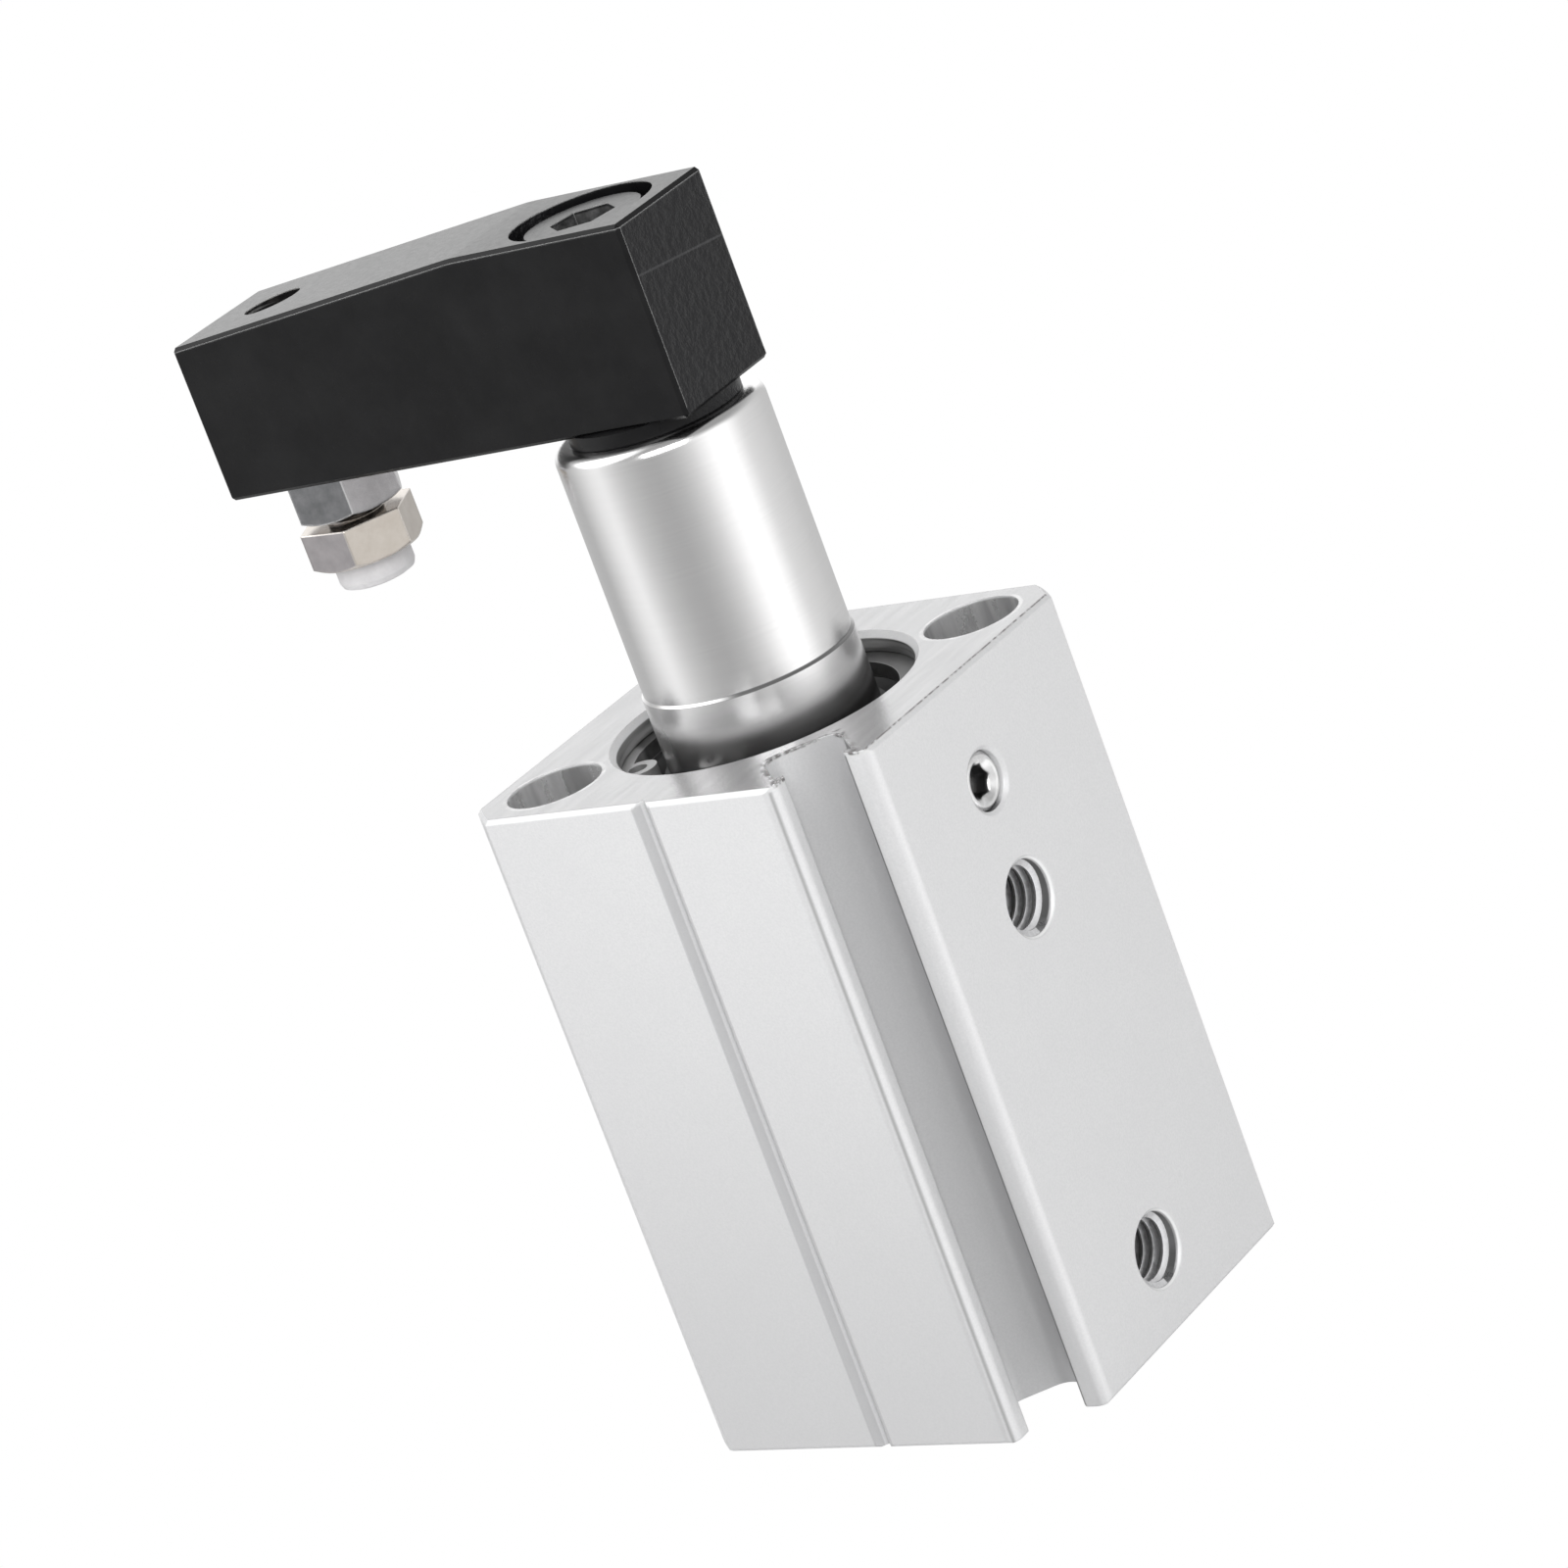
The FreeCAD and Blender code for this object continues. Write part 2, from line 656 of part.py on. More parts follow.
def make_lock_screw():
    """A cone-point set screw that keeps the cover from turning."""
    radius = "lock_thread_d / 2 - static_gap"
    blank = turned("lock_blank", [
        ("0", "0"), ("0.9", "0"), (radius, "1.1"), (radius, "lock_length - 0.3"),
        (f"{radius} - 0.3", "lock_length"), ("lock_dish_d / 2", "lock_length"),
        ("lock_flats / 2 - 0.1", "lock_length - lock_dish_deep"), ("0", "lock_length - lock_dish_deep"),
    ])
    socket = hexagon("lock_socket", "lock_flats", "lock_length - 1.8", "3", "30")
    screw = boolean("Cut", "cover_lock_screw", blank, socket)
    place(screw, x="body_side / 2 - lock_sink - lock_length", z="lock_height", axis=Y_AXIS, angle="90")
    return screw


def make_rod_side_bumper():
    low = "cover_nose_bottom - rod_bumper_thick"
    inner = "rod_d / 2 + cover_rod_gap"
    outer = "cover_nose_d / 2 - 0.1"
    return turned("rod_side_bumper", [
        (inner, low), (f"{outer} - 0.2", low), (outer, f"{low} + 0.2"),
        (outer, "cover_nose_bottom"), (inner, "cover_nose_bottom"),
    ])


# Rod and piston.

def make_piston_rod():
    """Hollow below for the guide post, tapped above for the arm's screw, relieved near the arm."""
    bore = "post_d / 2 + running_gap"
    bottom = "piston_foot"
    tap = "arm_screw_d / 2"
    tap_end = "arm_screw_seat - arm_screw_long - 1"
    ring_low = "inner_o_ring_height - inner_o_ring_d / 2 - 0.1"
    ring_high = "inner_o_ring_height + inner_o_ring_d / 2 + 0.1"
    ring_floor = "spigot_d / 2 - inner_o_ring_d"
    end = "rod_end_d / 2"
    body = new_body("piston_rod")
    turn(body, "rod_turned", [
        (bore, bottom), ("spigot_d / 2 - 0.3", bottom), ("spigot_d / 2", f"{bottom} + 0.3"),
        ("spigot_d / 2", ring_low), (ring_floor, ring_low), (ring_floor, ring_high),
        ("spigot_d / 2", ring_high), ("spigot_d / 2", "piston_top"),
        ("rod_d / 2", "piston_top"), ("rod_d / 2", "rod_step - (rod_d - rod_end_d) / 2"),
        (end, "rod_step"), (end, "rod_top"), (tap, "rod_top"), (tap, tap_end), ("0", tap_end),
        ("0", "rod_bore_top + 1"), (bore, "rod_bore_top"),
    ])
    sketch = new_sketch(body, "pin_hole_sketch", "XZ_Plane")
    draw_circle(sketch, "0", "pin_height", "pin_d")
    hole = body.newObject("PartDesign::Pocket", "pin_hole")
    hole.Profile = sketch
    hole.Reversed = False
    bind(hole, Length="spigot_d")
    doc.recompute()
    top = [
        f"Edge{index}" for index, edge in enumerate(hole.Shape.Edges, start=1)
        if abs(edge.BoundBox.ZMin - size("rod_top")) < 1e-4 and edge.BoundBox.XMax > size(end) - 1e-3
    ]
    rounded = body.newObject("PartDesign::Fillet", "rod_top_round")
    rounded.Base = (hole, top)
    bind(rounded, Radius="rod_round")
    return finish_body(body, rounded)


def make_piston():
    """Turned with grooves for the wear ring, the magnet and the seal, lands between them."""
    rim = "piston_d / 2"
    low = "piston_foot"
    wear_low = f"{low} + land"
    wear_high = f"{wear_low} + wear_high"
    magnet_low = f"{wear_high} + land"
    magnet_high = f"{magnet_low} + magnet_high"
    seal_low = f"{magnet_high} + land"
    seal_high = f"{seal_low} + seal_high"
    return turned("piston", [
        ("spigot_d / 2", low), (f"{rim} - 0.3", low), (rim, f"{low} + 0.3"), (rim, wear_low),
        ("bore_d / 2 - wear_wall", wear_low), ("bore_d / 2 - wear_wall", wear_high),
        (rim, wear_high), (rim, magnet_low),
        (f"{rim} - magnet_wall", magnet_low), (f"{rim} - magnet_wall", magnet_high),
        (rim, magnet_high), (rim, seal_low),
        ("bore_d / 2 - seal_wall", seal_low), ("bore_d / 2 - seal_wall", seal_high),
        (rim, seal_high), (rim, "piston_top - 0.3"), (f"{rim} - 0.3", "piston_top"),
        ("spigot_d / 2", "piston_top"),
    ])


def split_ring(name, inner, outer, bottom, top):
    """A plain ring cut through on one side, so that it can be sprung into its groove."""
    body = turned(name, rectangle(inner, outer, bottom, top))
    sketch = new_sketch(body, name + "_split_sketch", "XY_Plane")
    half = "ring_split / 2"
    draw(sketch, [("1", f"-{half}"), ("bore_d", f"-{half}"), ("bore_d", half), ("1", half)])
    sketch.setExpression(".AttachmentOffset.Base.z", bound("piston_top + 1"))
    cut = body.newObject("PartDesign::Pocket", name + "_split")
    cut.Profile = sketch
    bind(cut, Length="piston_long + 2")
    return finish_body(body, cut)


def make_wear_ring():
    low = "piston_foot + land"
    inner = "bore_d / 2 - wear_wall + running_gap"
    outer = "bore_d / 2 - running_gap"
    return split_ring("wear_ring", inner, outer, f"{low} + running_gap", f"{low} + wear_high - running_gap")


def make_magnet():
    low = "piston_foot + land + wear_high + land"
    inner = "piston_d / 2 - magnet_wall"
    return split_ring("piston_magnet", inner, "piston_d / 2 - 0.1", low, f"{low} + magnet_high")


def make_piston_seal():
    """A double-lobed seal, waisted between the lobes so that it rolls little in its groove."""
    low = "piston_foot + land + wear_high + land + magnet_high + land + running_gap"
    high = f"{low} + seal_high - 2 * running_gap"
    inner = "bore_d / 2 - seal_wall + running_gap"
    outer = "bore_d / 2 - running_gap"
    middle = f"{low} + seal_high / 2 - running_gap"
    return turned("piston_seal", [
        (f"{inner} + 0.2", low), (f"{outer} - 0.2", low), (outer, f"{low} + 0.3"),
        (outer, f"{low} + 0.5"), (f"{outer} - 0.3", middle), (outer, f"{high} - 0.5"),
        (outer, f"{high} - 0.3"), (f"{outer} - 0.2", high), (f"{inner} + 0.2", high),
        (inner, f"{high} - 0.3"), (f"{inner} + 0.25", middle), (inner, f"{low} + 0.3"),
    ])


def make_piston_o_ring():
    circle = "spigot_d - inner_o_ring_d"
    return make_o_ring("piston_o_ring", "inner_o_ring_d", circle, "inner_o_ring_height")


def make_head_side_bumper():
    high = "piston_foot"
    outer = "post_flange_d / 2 - 0.2"
    inner = "post_d / 2 + 0.4"
    return turned("head_side_bumper", [
        (inner, f"{high} - head_bumper_thick"), (f"{outer} - 0.3", f"{high} - head_bumper_thick"),
        (outer, f"{high} - head_bumper_thick + 0.3"), (outer, high), (inner, high),
    ])


def make_follower_pin():
    """A round pin pressed through the rod's wall, its inner end in the guide post's groove."""
    length = "spigot_d / 2 - post_d / 2 + groove_deep - 2 * pin_end_gap"
    radius = "pin_d / 2"
    pin = turned("follower_pin", [
        ("0", "0"), (f"{radius} - 0.2", "0"), (radius, "0.2"), (radius, f"{length} - 0.2"),
        (f"{radius} - 0.2", length), ("0", length),
    ])
    place(pin, y="spigot_d / 2 - pin_end_gap", z="pin_height", axis=Vec(1, 0, 0), angle="90")
    return pin


# Guide post.

def make_post_blank():
    flange = "post_flange_d / 2"
    post = "post_d / 2"
    tap = "post_screw_d / 2"
    groove_in = "face_seal_circle_d / 2 - face_seal_d / 2"
    groove_out = "face_seal_circle_d / 2 + face_seal_d / 2"
    groove_top = "floor_thick + face_seal_d"
    tap_end = "post_screw_tip + 1"
    body = new_body("post_blank")
    turn(body, "post_turned", [
        (tap, "floor_thick"), (groove_in, "floor_thick"), (groove_in, groove_top),
        (groove_out, groove_top), (groove_out, "floor_thick"), (flange, "floor_thick"),
        (flange, "post_flange_top - 0.4"), (f"{flange} - 0.4", "post_flange_top"),
        (post, "post_flange_top"), (post, "post_top - 0.5"), (f"{post} - 0.5", "post_top"),
        ("0", "post_top"), ("0", tap_end), (tap, tap_end),
    ])
    hole_top = "floor_thick + post_dowel_long / 2"
    dowel = pocket_circles(
        body, "post_dowel_hole", [("0", "post_dowel_circle")], "post_dowel_d", hole_top,
        "post_dowel_long / 2",
    )
    return finish_body(body, dowel)


def pin_pocket(angle, height):
    """Where the pin rests at an end or a bend of its path, opened a little beyond the groove."""
    relief = size("pin_relief")
    radius = size("pin_d / 2 + running_gap") + relief
    floor = size("post_d / 2 - groove_deep") - relief
    pocket = Part.makeCylinder(radius, size("post_d"), Vec(floor, 0, height), Vec(1, 0, 0))
    pocket.rotate(Vec(), Z_AXIS, angle)
    return pocket


def swing_groove(start, radii):
    """The helical part of the pin's path, from a start height.

    The section is a rectangle between two radii, held square to the path at its middle radius,
    so the groove is as wide there as the straight part is.
    """
    rise = size("swing_stroke")
    turn_share = size("swing_angle") / 360
    middle = sum(radii) / 2
    half_width = size("pin_d / 2 + running_gap")
    helix = Part.makeHelix(rise / turn_share, rise, middle)
    helix.translate(Vec(0, 0, start))
    forward = Vec(0, math.tau * middle * turn_share, rise).normalize()
    across = Vec(0, -forward.z, forward.y) * half_width
    inner, outer = radii
    corners = [
        Vec(radius, 0, start) + across * side
        for radius, side in ((inner, -1), (outer, -1), (outer, 1), (inner, 1))
    ]
    section = Part.makePolygon(corners + corners[:1])
    return Part.Wire(helix).makePipeShell([section], True, True)


def make_cam_groove():
    """The whole path of the follower pin: a quarter turn of helix to swing, then straight to clamp."""
    top = size("pin_height")
    bend = top - size("swing_stroke")
    foot = bend - size("clamp_stroke")
    floor = size("post_d / 2 - groove_deep")
    outside = size("post_d / 2 + groove_deep")
    half_width = size("pin_d / 2 + running_gap")
    path = Part.makeBox(outside - floor, 2 * half_width, bend - foot, Vec(floor, -half_width, foot))
    for angle, height in ((0, foot), (0, bend), (size("swing_angle"), top)):
        path = path.fuse(pin_pocket(angle, height))
    groove = doc.addObject("Part::Feature", "cam_groove")
    groove.Shape = path.fuse(swing_groove(bend, (floor, outside)))
    return groove


def make_guide_post():
    blank = make_post_blank()
    groove = make_cam_groove()
    post = boolean("Cut", "guide_post", blank, groove)
    post.Refine = False
    return post


def make_post_screw():
    """A countersunk screw through the floor of the body into the guide post."""
    radius = "post_screw_d / 2 - static_gap"
    head = "post_screw_head_d / 2"
    low = "post_screw_sink"
    edge = f"{low} + 0.1"
    blank = turned("post_screw_blank", [
        ("0", low), (f"{head} - 0.1", low), (head, edge), (radius, f"{edge} + {head} - ({radius})"),
        (radius, "post_screw_tip - 0.3"), (f"{radius} - 0.3", "post_screw_tip"), ("0", "post_screw_tip"),
    ])
    socket = hexagon("post_screw_socket", "2", "-1", "2.4")
    return boolean("Cut", "post_screw", blank, socket)


def make_post_dowel():
    radius = "post_dowel_d / 2 - static_gap"
    low = "floor_thick - post_dowel_long / 2 + 0.1"
    high = "floor_thick + post_dowel_long / 2 - 0.1"
    dowel = turned("post_dowel", [
        ("0", low), (f"{radius} - 0.2", low), (radius, f"{low} + 0.2"), (radius, f"{high} - 0.2"),
        (f"{radius} - 0.2", high), ("0", high),
    ])
    place(dowel, y="post_dowel_circle")
    return dowel


def make_post_o_ring():
    height = "floor_thick + face_seal_d / 2"
    return make_o_ring("post_o_ring", "face_seal_d", "face_seal_circle_d", height)


# Clamp arm and what hangs on it.

def arm_edges(shape):
    """The straight outer edges of the arm's block, by where both their ends lie."""
    half = size("arm_width / 2")
    names = []
    for index, edge in enumerate(shape.Edges, start=1):
        ends = [vertex.Point for vertex in edge.Vertexes]
        if len(ends) == 2 and all(abs(abs(end.y) - half) < 1e-4 for end in ends):
            names.append(f"Edge{index}")
    return names


def make_clamp_arm():
    """A milled block with a sloping nose, a counterbored hole for the rod and a tapped hole."""
    body = new_body("clamp_arm")
    sketch = new_sketch(body, "arm_sketch", "XZ_Plane")
    draw(sketch, [
        ("arm_back", "arm_bottom"), ("arm_back", "arm_top"), ("-arm_bend", "arm_top"),
        ("-arm_reach", "arm_top - arm_tip_drop"), ("-arm_reach", "arm_bottom"),
    ])
    block = body.newObject("PartDesign::Pad", "arm_block")
    block.Profile = sketch
    block.SideType = "Symmetric"
    bind(block, Length="arm_width")
    doc.recompute()
    edges = body.newObject("PartDesign::Chamfer", "arm_edges")
    edges.Base = (block, arm_edges(block.Shape))
    bind(edges, Size="arm_edge")
    turn(body, "arm_hub", rectangle("arm_screw_d / 2 + 0.2", "hub_d / 2", "rod_top", "arm_bottom + 0.5"))
    centre = [("0", "0")]
    pocket_circles(body, "arm_seat", centre, "arm_seat_d", "arm_top", "arm_seat_depth")
    hole_depth = "arm_screw_seat - rod_top"
    pocket_circles(body, "arm_hole", centre, "arm_screw_d + 0.4", "arm_screw_seat", hole_depth)
    tip = [("-bolt_reach", "0")]
    tapped = pocket_circles(body, "arm_tapped", tip, "bolt_thread_d", "arm_top", "arm_top - rod_top")
    finish_body(body, tapped)
    place(body, angle="arm_angle")
    return body


def make_arm_screw():
    """A socket head screw that pulls the arm down on the rod."""
    seat = "arm_screw_seat"
    head = "arm_screw_head_d / 2"
    radius = "arm_screw_d / 2 - static_gap"
    top = f"{seat} + arm_screw_head"
    tip = f"{seat} - arm_screw_long"
    blank = turned("arm_screw_blank", [
        ("0", tip), (f"{radius} - 0.4", tip), (radius, f"{tip} + 0.4"), (radius, seat),
        (head, seat), (head, f"{top} - 0.35"), (f"{head} - 0.35", top), ("0", top),
    ])
    socket = hexagon("arm_screw_recess", "arm_screw_flats", f"{top} - arm_screw_socket", "4", "20")
    return boolean("Cut", "arm_screw", blank, socket)


def hex_piece(name, bottom, height, angle, extra, both_ends):
    """A hexagon with its corners turned off at the bottom, and at the top too for a nut."""
    corner = "bolt_flats / sqrt(3)"
    crown = f"({corner} - bolt_flats / 2) * 0.58"
    top = f"{bottom} + {height}"
    shoulder = f"{top} - {crown}" if both_ends else top
    upper = [(corner, shoulder), ("bolt_flats / 2", top)] if both_ends else [(corner, top)]
    blank = turned(name + "_blank", [
        ("0", bottom), ("bolt_flats / 2", bottom), (corner, f"{bottom} + {crown}"), *upper, ("0", top),
    ])
    prism = hexagon(name + "_prism", "bolt_flats", f"{bottom} - 1", f"{height} + 2", angle)
    return boolean("Common", name + extra, blank, prism)


def hang_on_arm(piece):
    """Move a piece built on the Z axis to the arm's tapped hole."""
    reach = "bolt_reach"
    place(piece, x=f"-{reach} * cos(arm_angle * 1 deg)", y=f"-{reach} * sin(arm_angle * 1 deg)")
    return piece


def make_lock_nut():
    blank = hex_piece("nut", "nut_bottom", "nut_high", "nut_turn", "_hex", both_ends=True)
    hole = cylinder("nut_hole", "bolt_thread_d", "nut_bottom - 1", "nut_high + 2")
    return hang_on_arm(boolean("Cut", "clamp_lock_nut", blank, hole))


def make_clamp_bolt():
    """A hexagon head bolt hung head down, bored under the head for the pad's stem."""
    middle = "head_bottom + head_high / 2"
    radius = "bolt_thread_d / 2 - static_gap"
    tip = "head_top + bolt_long"
    head = hex_piece("bolt", "head_bottom", "head_high", "head_turn", "_hex", both_ends=False)
    shank = turned("bolt_shank", [
        ("0", middle), (radius, middle), (radius, f"{tip} - 0.4"), (f"{radius} - 0.4", tip), ("0", tip),
    ])
    whole = boolean("Fuse", "bolt_whole", head, shank)
    hole = cylinder("pad_hole", "pad_stem_d", "head_bottom - 1", "pad_stem + 1.2")
    return hang_on_arm(boolean("Cut", "clamp_bolt", whole, hole))


def make_clamp_pad():
    """A plastic button with a rounded rim, held by its stem."""
    low = "head_bottom - pad_thick"
    rim = "pad_d / 2"
    stem_top = "head_bottom + pad_stem"
    pad_body = turned("clamp_pad", [
        ("0", low), (f"{rim} - pad_edge", low), (f"{rim} - pad_edge * 0.29", f"{low} + pad_edge * 0.29"),
        (rim, f"{low} + pad_edge"), (rim, "head_bottom"),
        ("pad_stem_d / 2", "head_bottom"), ("pad_stem_d / 2", stem_top), ("0", stem_top),
    ])
    return hang_on_arm(pad_body)


PARTS = [
    make_cylinder_body(), make_rod_cover(), make_rod_bush(), make_rod_seal(), make_rod_scraper(),
    make_cover_o_ring(), make_retaining_ring(), make_lock_screw(), make_rod_side_bumper(),
    make_guide_post(), make_post_screw(), make_post_dowel(), make_post_o_ring(),
    make_piston_seal(), make_wear_ring(),
    make_piston_rod(), make_piston(), make_magnet(), make_piston_o_ring(), make_follower_pin(),
    make_head_side_bumper(), make_clamp_arm(), make_arm_screw(), make_clamp_bolt(), make_lock_nut(),
    make_clamp_pad(),
]

doc.recompute()
faults = [item.Label for item in doc.Objects if {"Invalid", "Error"} & set(item.State)]
faults += [part.Label for part in PARTS if not part.Shape.isValid() or not part.Shape.Solids]
if faults:
    raise RuntimeError("faulty objects: " + ", ".join(faults))

os.makedirs("parts", exist_ok=True)
for part in PARTS:
    part.Shape.exportStep(f"parts/{part.Label}.step")
    box = part.Shape.BoundBox
    print(
        f"{part.Label:18s} solids {len(part.Shape.Solids)} volume {part.Shape.Volume:9.2f}"
        f"  x {box.XMin:7.2f} {box.XMax:7.2f}  y {box.YMin:7.2f} {box.YMax:7.2f}"
        f"  z {box.ZMin:6.2f} {box.ZMax:6.2f}"
    )
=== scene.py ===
import math
import bpy
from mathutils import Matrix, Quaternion, Vector


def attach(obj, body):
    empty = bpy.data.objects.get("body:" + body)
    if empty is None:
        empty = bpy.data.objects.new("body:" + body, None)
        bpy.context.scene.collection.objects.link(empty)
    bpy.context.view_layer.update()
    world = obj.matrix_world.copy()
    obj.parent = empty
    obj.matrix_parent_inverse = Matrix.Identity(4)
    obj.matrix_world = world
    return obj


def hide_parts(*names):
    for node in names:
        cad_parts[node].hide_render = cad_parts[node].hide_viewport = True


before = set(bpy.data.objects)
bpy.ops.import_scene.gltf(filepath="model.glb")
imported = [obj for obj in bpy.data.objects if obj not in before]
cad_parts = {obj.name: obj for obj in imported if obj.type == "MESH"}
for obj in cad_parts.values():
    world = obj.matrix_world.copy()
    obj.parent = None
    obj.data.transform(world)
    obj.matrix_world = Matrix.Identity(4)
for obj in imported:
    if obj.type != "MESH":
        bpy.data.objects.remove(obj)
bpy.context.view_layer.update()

# The studio: a pale floor that shows pure white to the camera, and a world that is a soft light tent.
# Polished metal sees the tent's walls, bright panels with grey between them, and below the horizon too,
# because the floor lets glossy rays through. Above the walls is a darker ceiling with two panels.

WALLS = (
    # azimuth in degrees, brightness of the tent's wall there
    (-180, 0.52), (-163, 0.72), (-148, 0.94), (-134, 1.06), (-122, 0.86), (-110, 0.68), (-99, 0.58),
    (-84, 0.48), (-68, 0.45), (-50, 0.54), (-40, 0.66), (-30, 0.80), (-20, 1.02), (-8, 1.28), (12, 1.34),
    (22, 1.12), (33, 0.86), (48, 0.78), (64, 0.72), (84, 0.64), (130, 0.56), (180, 0.52),
)
CEILING = 0.38
PANELS = (
    # azimuth and height in degrees, half width of the lit spot and of its soft edge, added brightness
    (131, 14, 16, 32, 0.75), (-154, 47, 16, 34, 1.7),
)


def link(tree, source, target):
    tree.links.new(source, target)


def node(tree, kind, **settings):
    made = tree.nodes.new(kind)
    for name, value in settings.items():
        setattr(made, name, value)
    return made


def math_node(tree, operation, first, second=None, third=None, clamp=False):
    made = node(tree, "ShaderNodeMath", operation=operation, use_clamp=clamp)
    for socket, value in zip(made.inputs, (first, second, third)):
        if isinstance(value, bpy.types.NodeSocket):
            link(tree, value, socket)
        elif value is not None:
            socket.default_value = value
    return made.outputs[0]


def spread(tree, value, low, high):
    """The value's way from low to high as 0 to 1, with soft ends."""
    made = node(tree, "ShaderNodeMapRange", interpolation_type="SMOOTHSTEP")
    link(tree, value, made.inputs["Value"])
    made.inputs["From Min"].default_value = low
    made.inputs["From Max"].default_value = high
    return made.outputs[0]


world = bpy.data.worlds.new("studio_world")
bpy.context.scene.world = world
world.use_nodes = True
tree = world.node_tree
tree.nodes.clear()
direction = node(tree, "ShaderNodeTexCoord").outputs["Generated"]
axes = node(tree, "ShaderNodeSeparateXYZ")
link(tree, direction, axes.inputs[0])
turn = math_node(tree, "ARCTAN2", axes.outputs["Y"], axes.outputs["X"])
turn = math_node(tree, "MULTIPLY_ADD", turn, 0.5 / math.pi, 0.5)
walls = node(tree, "ShaderNodeValToRGB")
stops = walls.color_ramp.elements
BRIGHTEST = max(level for azimuth, level in WALLS)
for index, (azimuth, level) in enumerate(WALLS):
    place = (azimuth + 180) / 360
    stop = stops[index] if index < 2 else stops.new(place)
    stop.position = place
    stop.color = (level / BRIGHTEST, level / BRIGHTEST, level / BRIGHTEST, 1)
link(tree, turn, walls.inputs[0])
side = math_node(tree, "MULTIPLY", walls.outputs[0], BRIGHTEST)
light = node(tree, "ShaderNodeMix", data_type="FLOAT")
link(tree, spread(tree, axes.outputs["Z"], 0.28, 0.8), light.inputs["Factor"])
link(tree, side, light.inputs[2])
light.inputs[3].default_value = CEILING
light = light.outputs[0]
for azimuth, height, lit, soft, level in PANELS:
    flat = math.cos(math.radians(height))
    aim = (flat * math.cos(math.radians(azimuth)), flat * math.sin(math.radians(azimuth)),
           math.sin(math.radians(height)))
    near = node(tree, "ShaderNodeVectorMath", operation="DOT_PRODUCT")
    link(tree, direction, near.inputs[0])
    near.inputs[1].default_value = aim
    spot = spread(tree, near.outputs["Value"], math.cos(math.radians(soft)), math.cos(math.radians(lit)))
    light = math_node(tree, "MULTIPLY_ADD", spot, level, light)
background = node(tree, "ShaderNodeBackground")
background.inputs["Color"].default_value = (1, 1, 1, 1)
link(tree, light, background.inputs["Strength"])
link(tree, background.outputs[0], node(tree, "ShaderNodeOutputWorld").inputs[0])

bpy.ops.mesh.primitive_plane_add(size=6.0, location=(0, 0, -0.0002))
floor = bpy.context.object
floor.name = "studio_floor"
floor_material = bpy.data.materials.new("studio_floor")
floor_material.use_nodes = True
tree = floor_material.node_tree
tree.nodes.clear()
rays = node(tree, "ShaderNodeLightPath")
paper = node(tree, "ShaderNodeBsdfDiffuse")
paper.inputs["Color"].default_value = (0.85, 0.85, 0.85, 1)
white = node(tree, "ShaderNodeEmission")
white.inputs["Strength"].default_value = 1.0
clear = node(tree, "ShaderNodeBsdfTransparent")
seen = node(tree, "ShaderNodeMixShader")
link(tree, rays.outputs["Is Camera Ray"], seen.inputs[0])
link(tree, paper.outputs[0], seen.inputs[1])
link(tree, white.outputs[0], seen.inputs[2])
mirrored = node(tree, "ShaderNodeMixShader")
link(tree, rays.outputs["Is Glossy Ray"], mirrored.inputs[0])
link(tree, seen.outputs[0], mirrored.inputs[1])
link(tree, clear.outputs[0], mirrored.inputs[2])
link(tree, mirrored.outputs[0], node(tree, "ShaderNodeOutputMaterial").inputs[0])
floor.data.materials.append(floor_material)

key_data = bpy.data.lights.new("key_softbox", "AREA")
key_data.shape = "RECTANGLE"
key_data.size = 0.20
key_data.size_y = 0.15
key_data.energy = 0.42
key = bpy.data.objects.new("key_softbox", key_data)
bpy.context.scene.collection.objects.link(key)
key.location = (0.13, -0.19, 0.21)
key.rotation_euler = (Vector((0, 0, 0.03)) - key.location).to_track_quat("-Z", "Y").to_euler()

camera_data = bpy.data.cameras.new("camera")
camera_data.sensor_width = 36.0
camera_data.lens = 137.7555
camera = bpy.data.objects.new("camera", camera_data)
bpy.context.scene.collection.objects.link(camera)
camera.location = (0.236143, -0.284485, 0.156738)
camera.rotation_mode = "QUATERNION"
camera.rotation_quaternion = Quaternion((0.794485, 0.511955, 0.297554, 0.134750))
bpy.context.scene.camera = camera
bpy.context.scene.view_settings.view_transform = "Standard"

# Shared effects as node groups. Each gives masks and leaves the shader to the material.
# speckle: fine irregular grains. lines: long thin marks along one axis. edges: 1 on sharp edges, and
# how far the rounded normal there tilts up.


def new_group(name, inputs, outputs):
    """A shader node group with float or vector inputs and float outputs."""
    made = bpy.data.node_groups.new(name, "ShaderNodeTree")
    for label, kind, value in inputs:
        socket = made.interface.new_socket(label, in_out="INPUT", socket_type=kind)
        if value is not None:
            socket.default_value = value
    for label in outputs:
        made.interface.new_socket(label, in_out="OUTPUT", socket_type="NodeSocketFloat")
    return made, node(made, "NodeGroupInput"), node(made, "NodeGroupOutput")


speckle, given, result = new_group(
    "speckle",
    (("Vector", "NodeSocketVector", None), ("Size", "NodeSocketFloat", 0.0003),
     ("Low", "NodeSocketFloat", 0.3), ("High", "NodeSocketFloat", 0.7)),
    ("Mask",),
)
noise = node(speckle, "ShaderNodeTexNoise")
noise.inputs["Detail"].default_value = 3
noise.inputs["Roughness"].default_value = 0.6
link(speckle, given.outputs["Vector"], noise.inputs["Vector"])
link(speckle, math_node(speckle, "DIVIDE", 1.0, given.outputs["Size"]), noise.inputs["Scale"])
level = node(speckle, "ShaderNodeMapRange")
link(speckle, noise.outputs[0], level.inputs["Value"])
link(speckle, given.outputs["Low"], level.inputs["From Min"])
link(speckle, given.outputs["High"], level.inputs["From Max"])
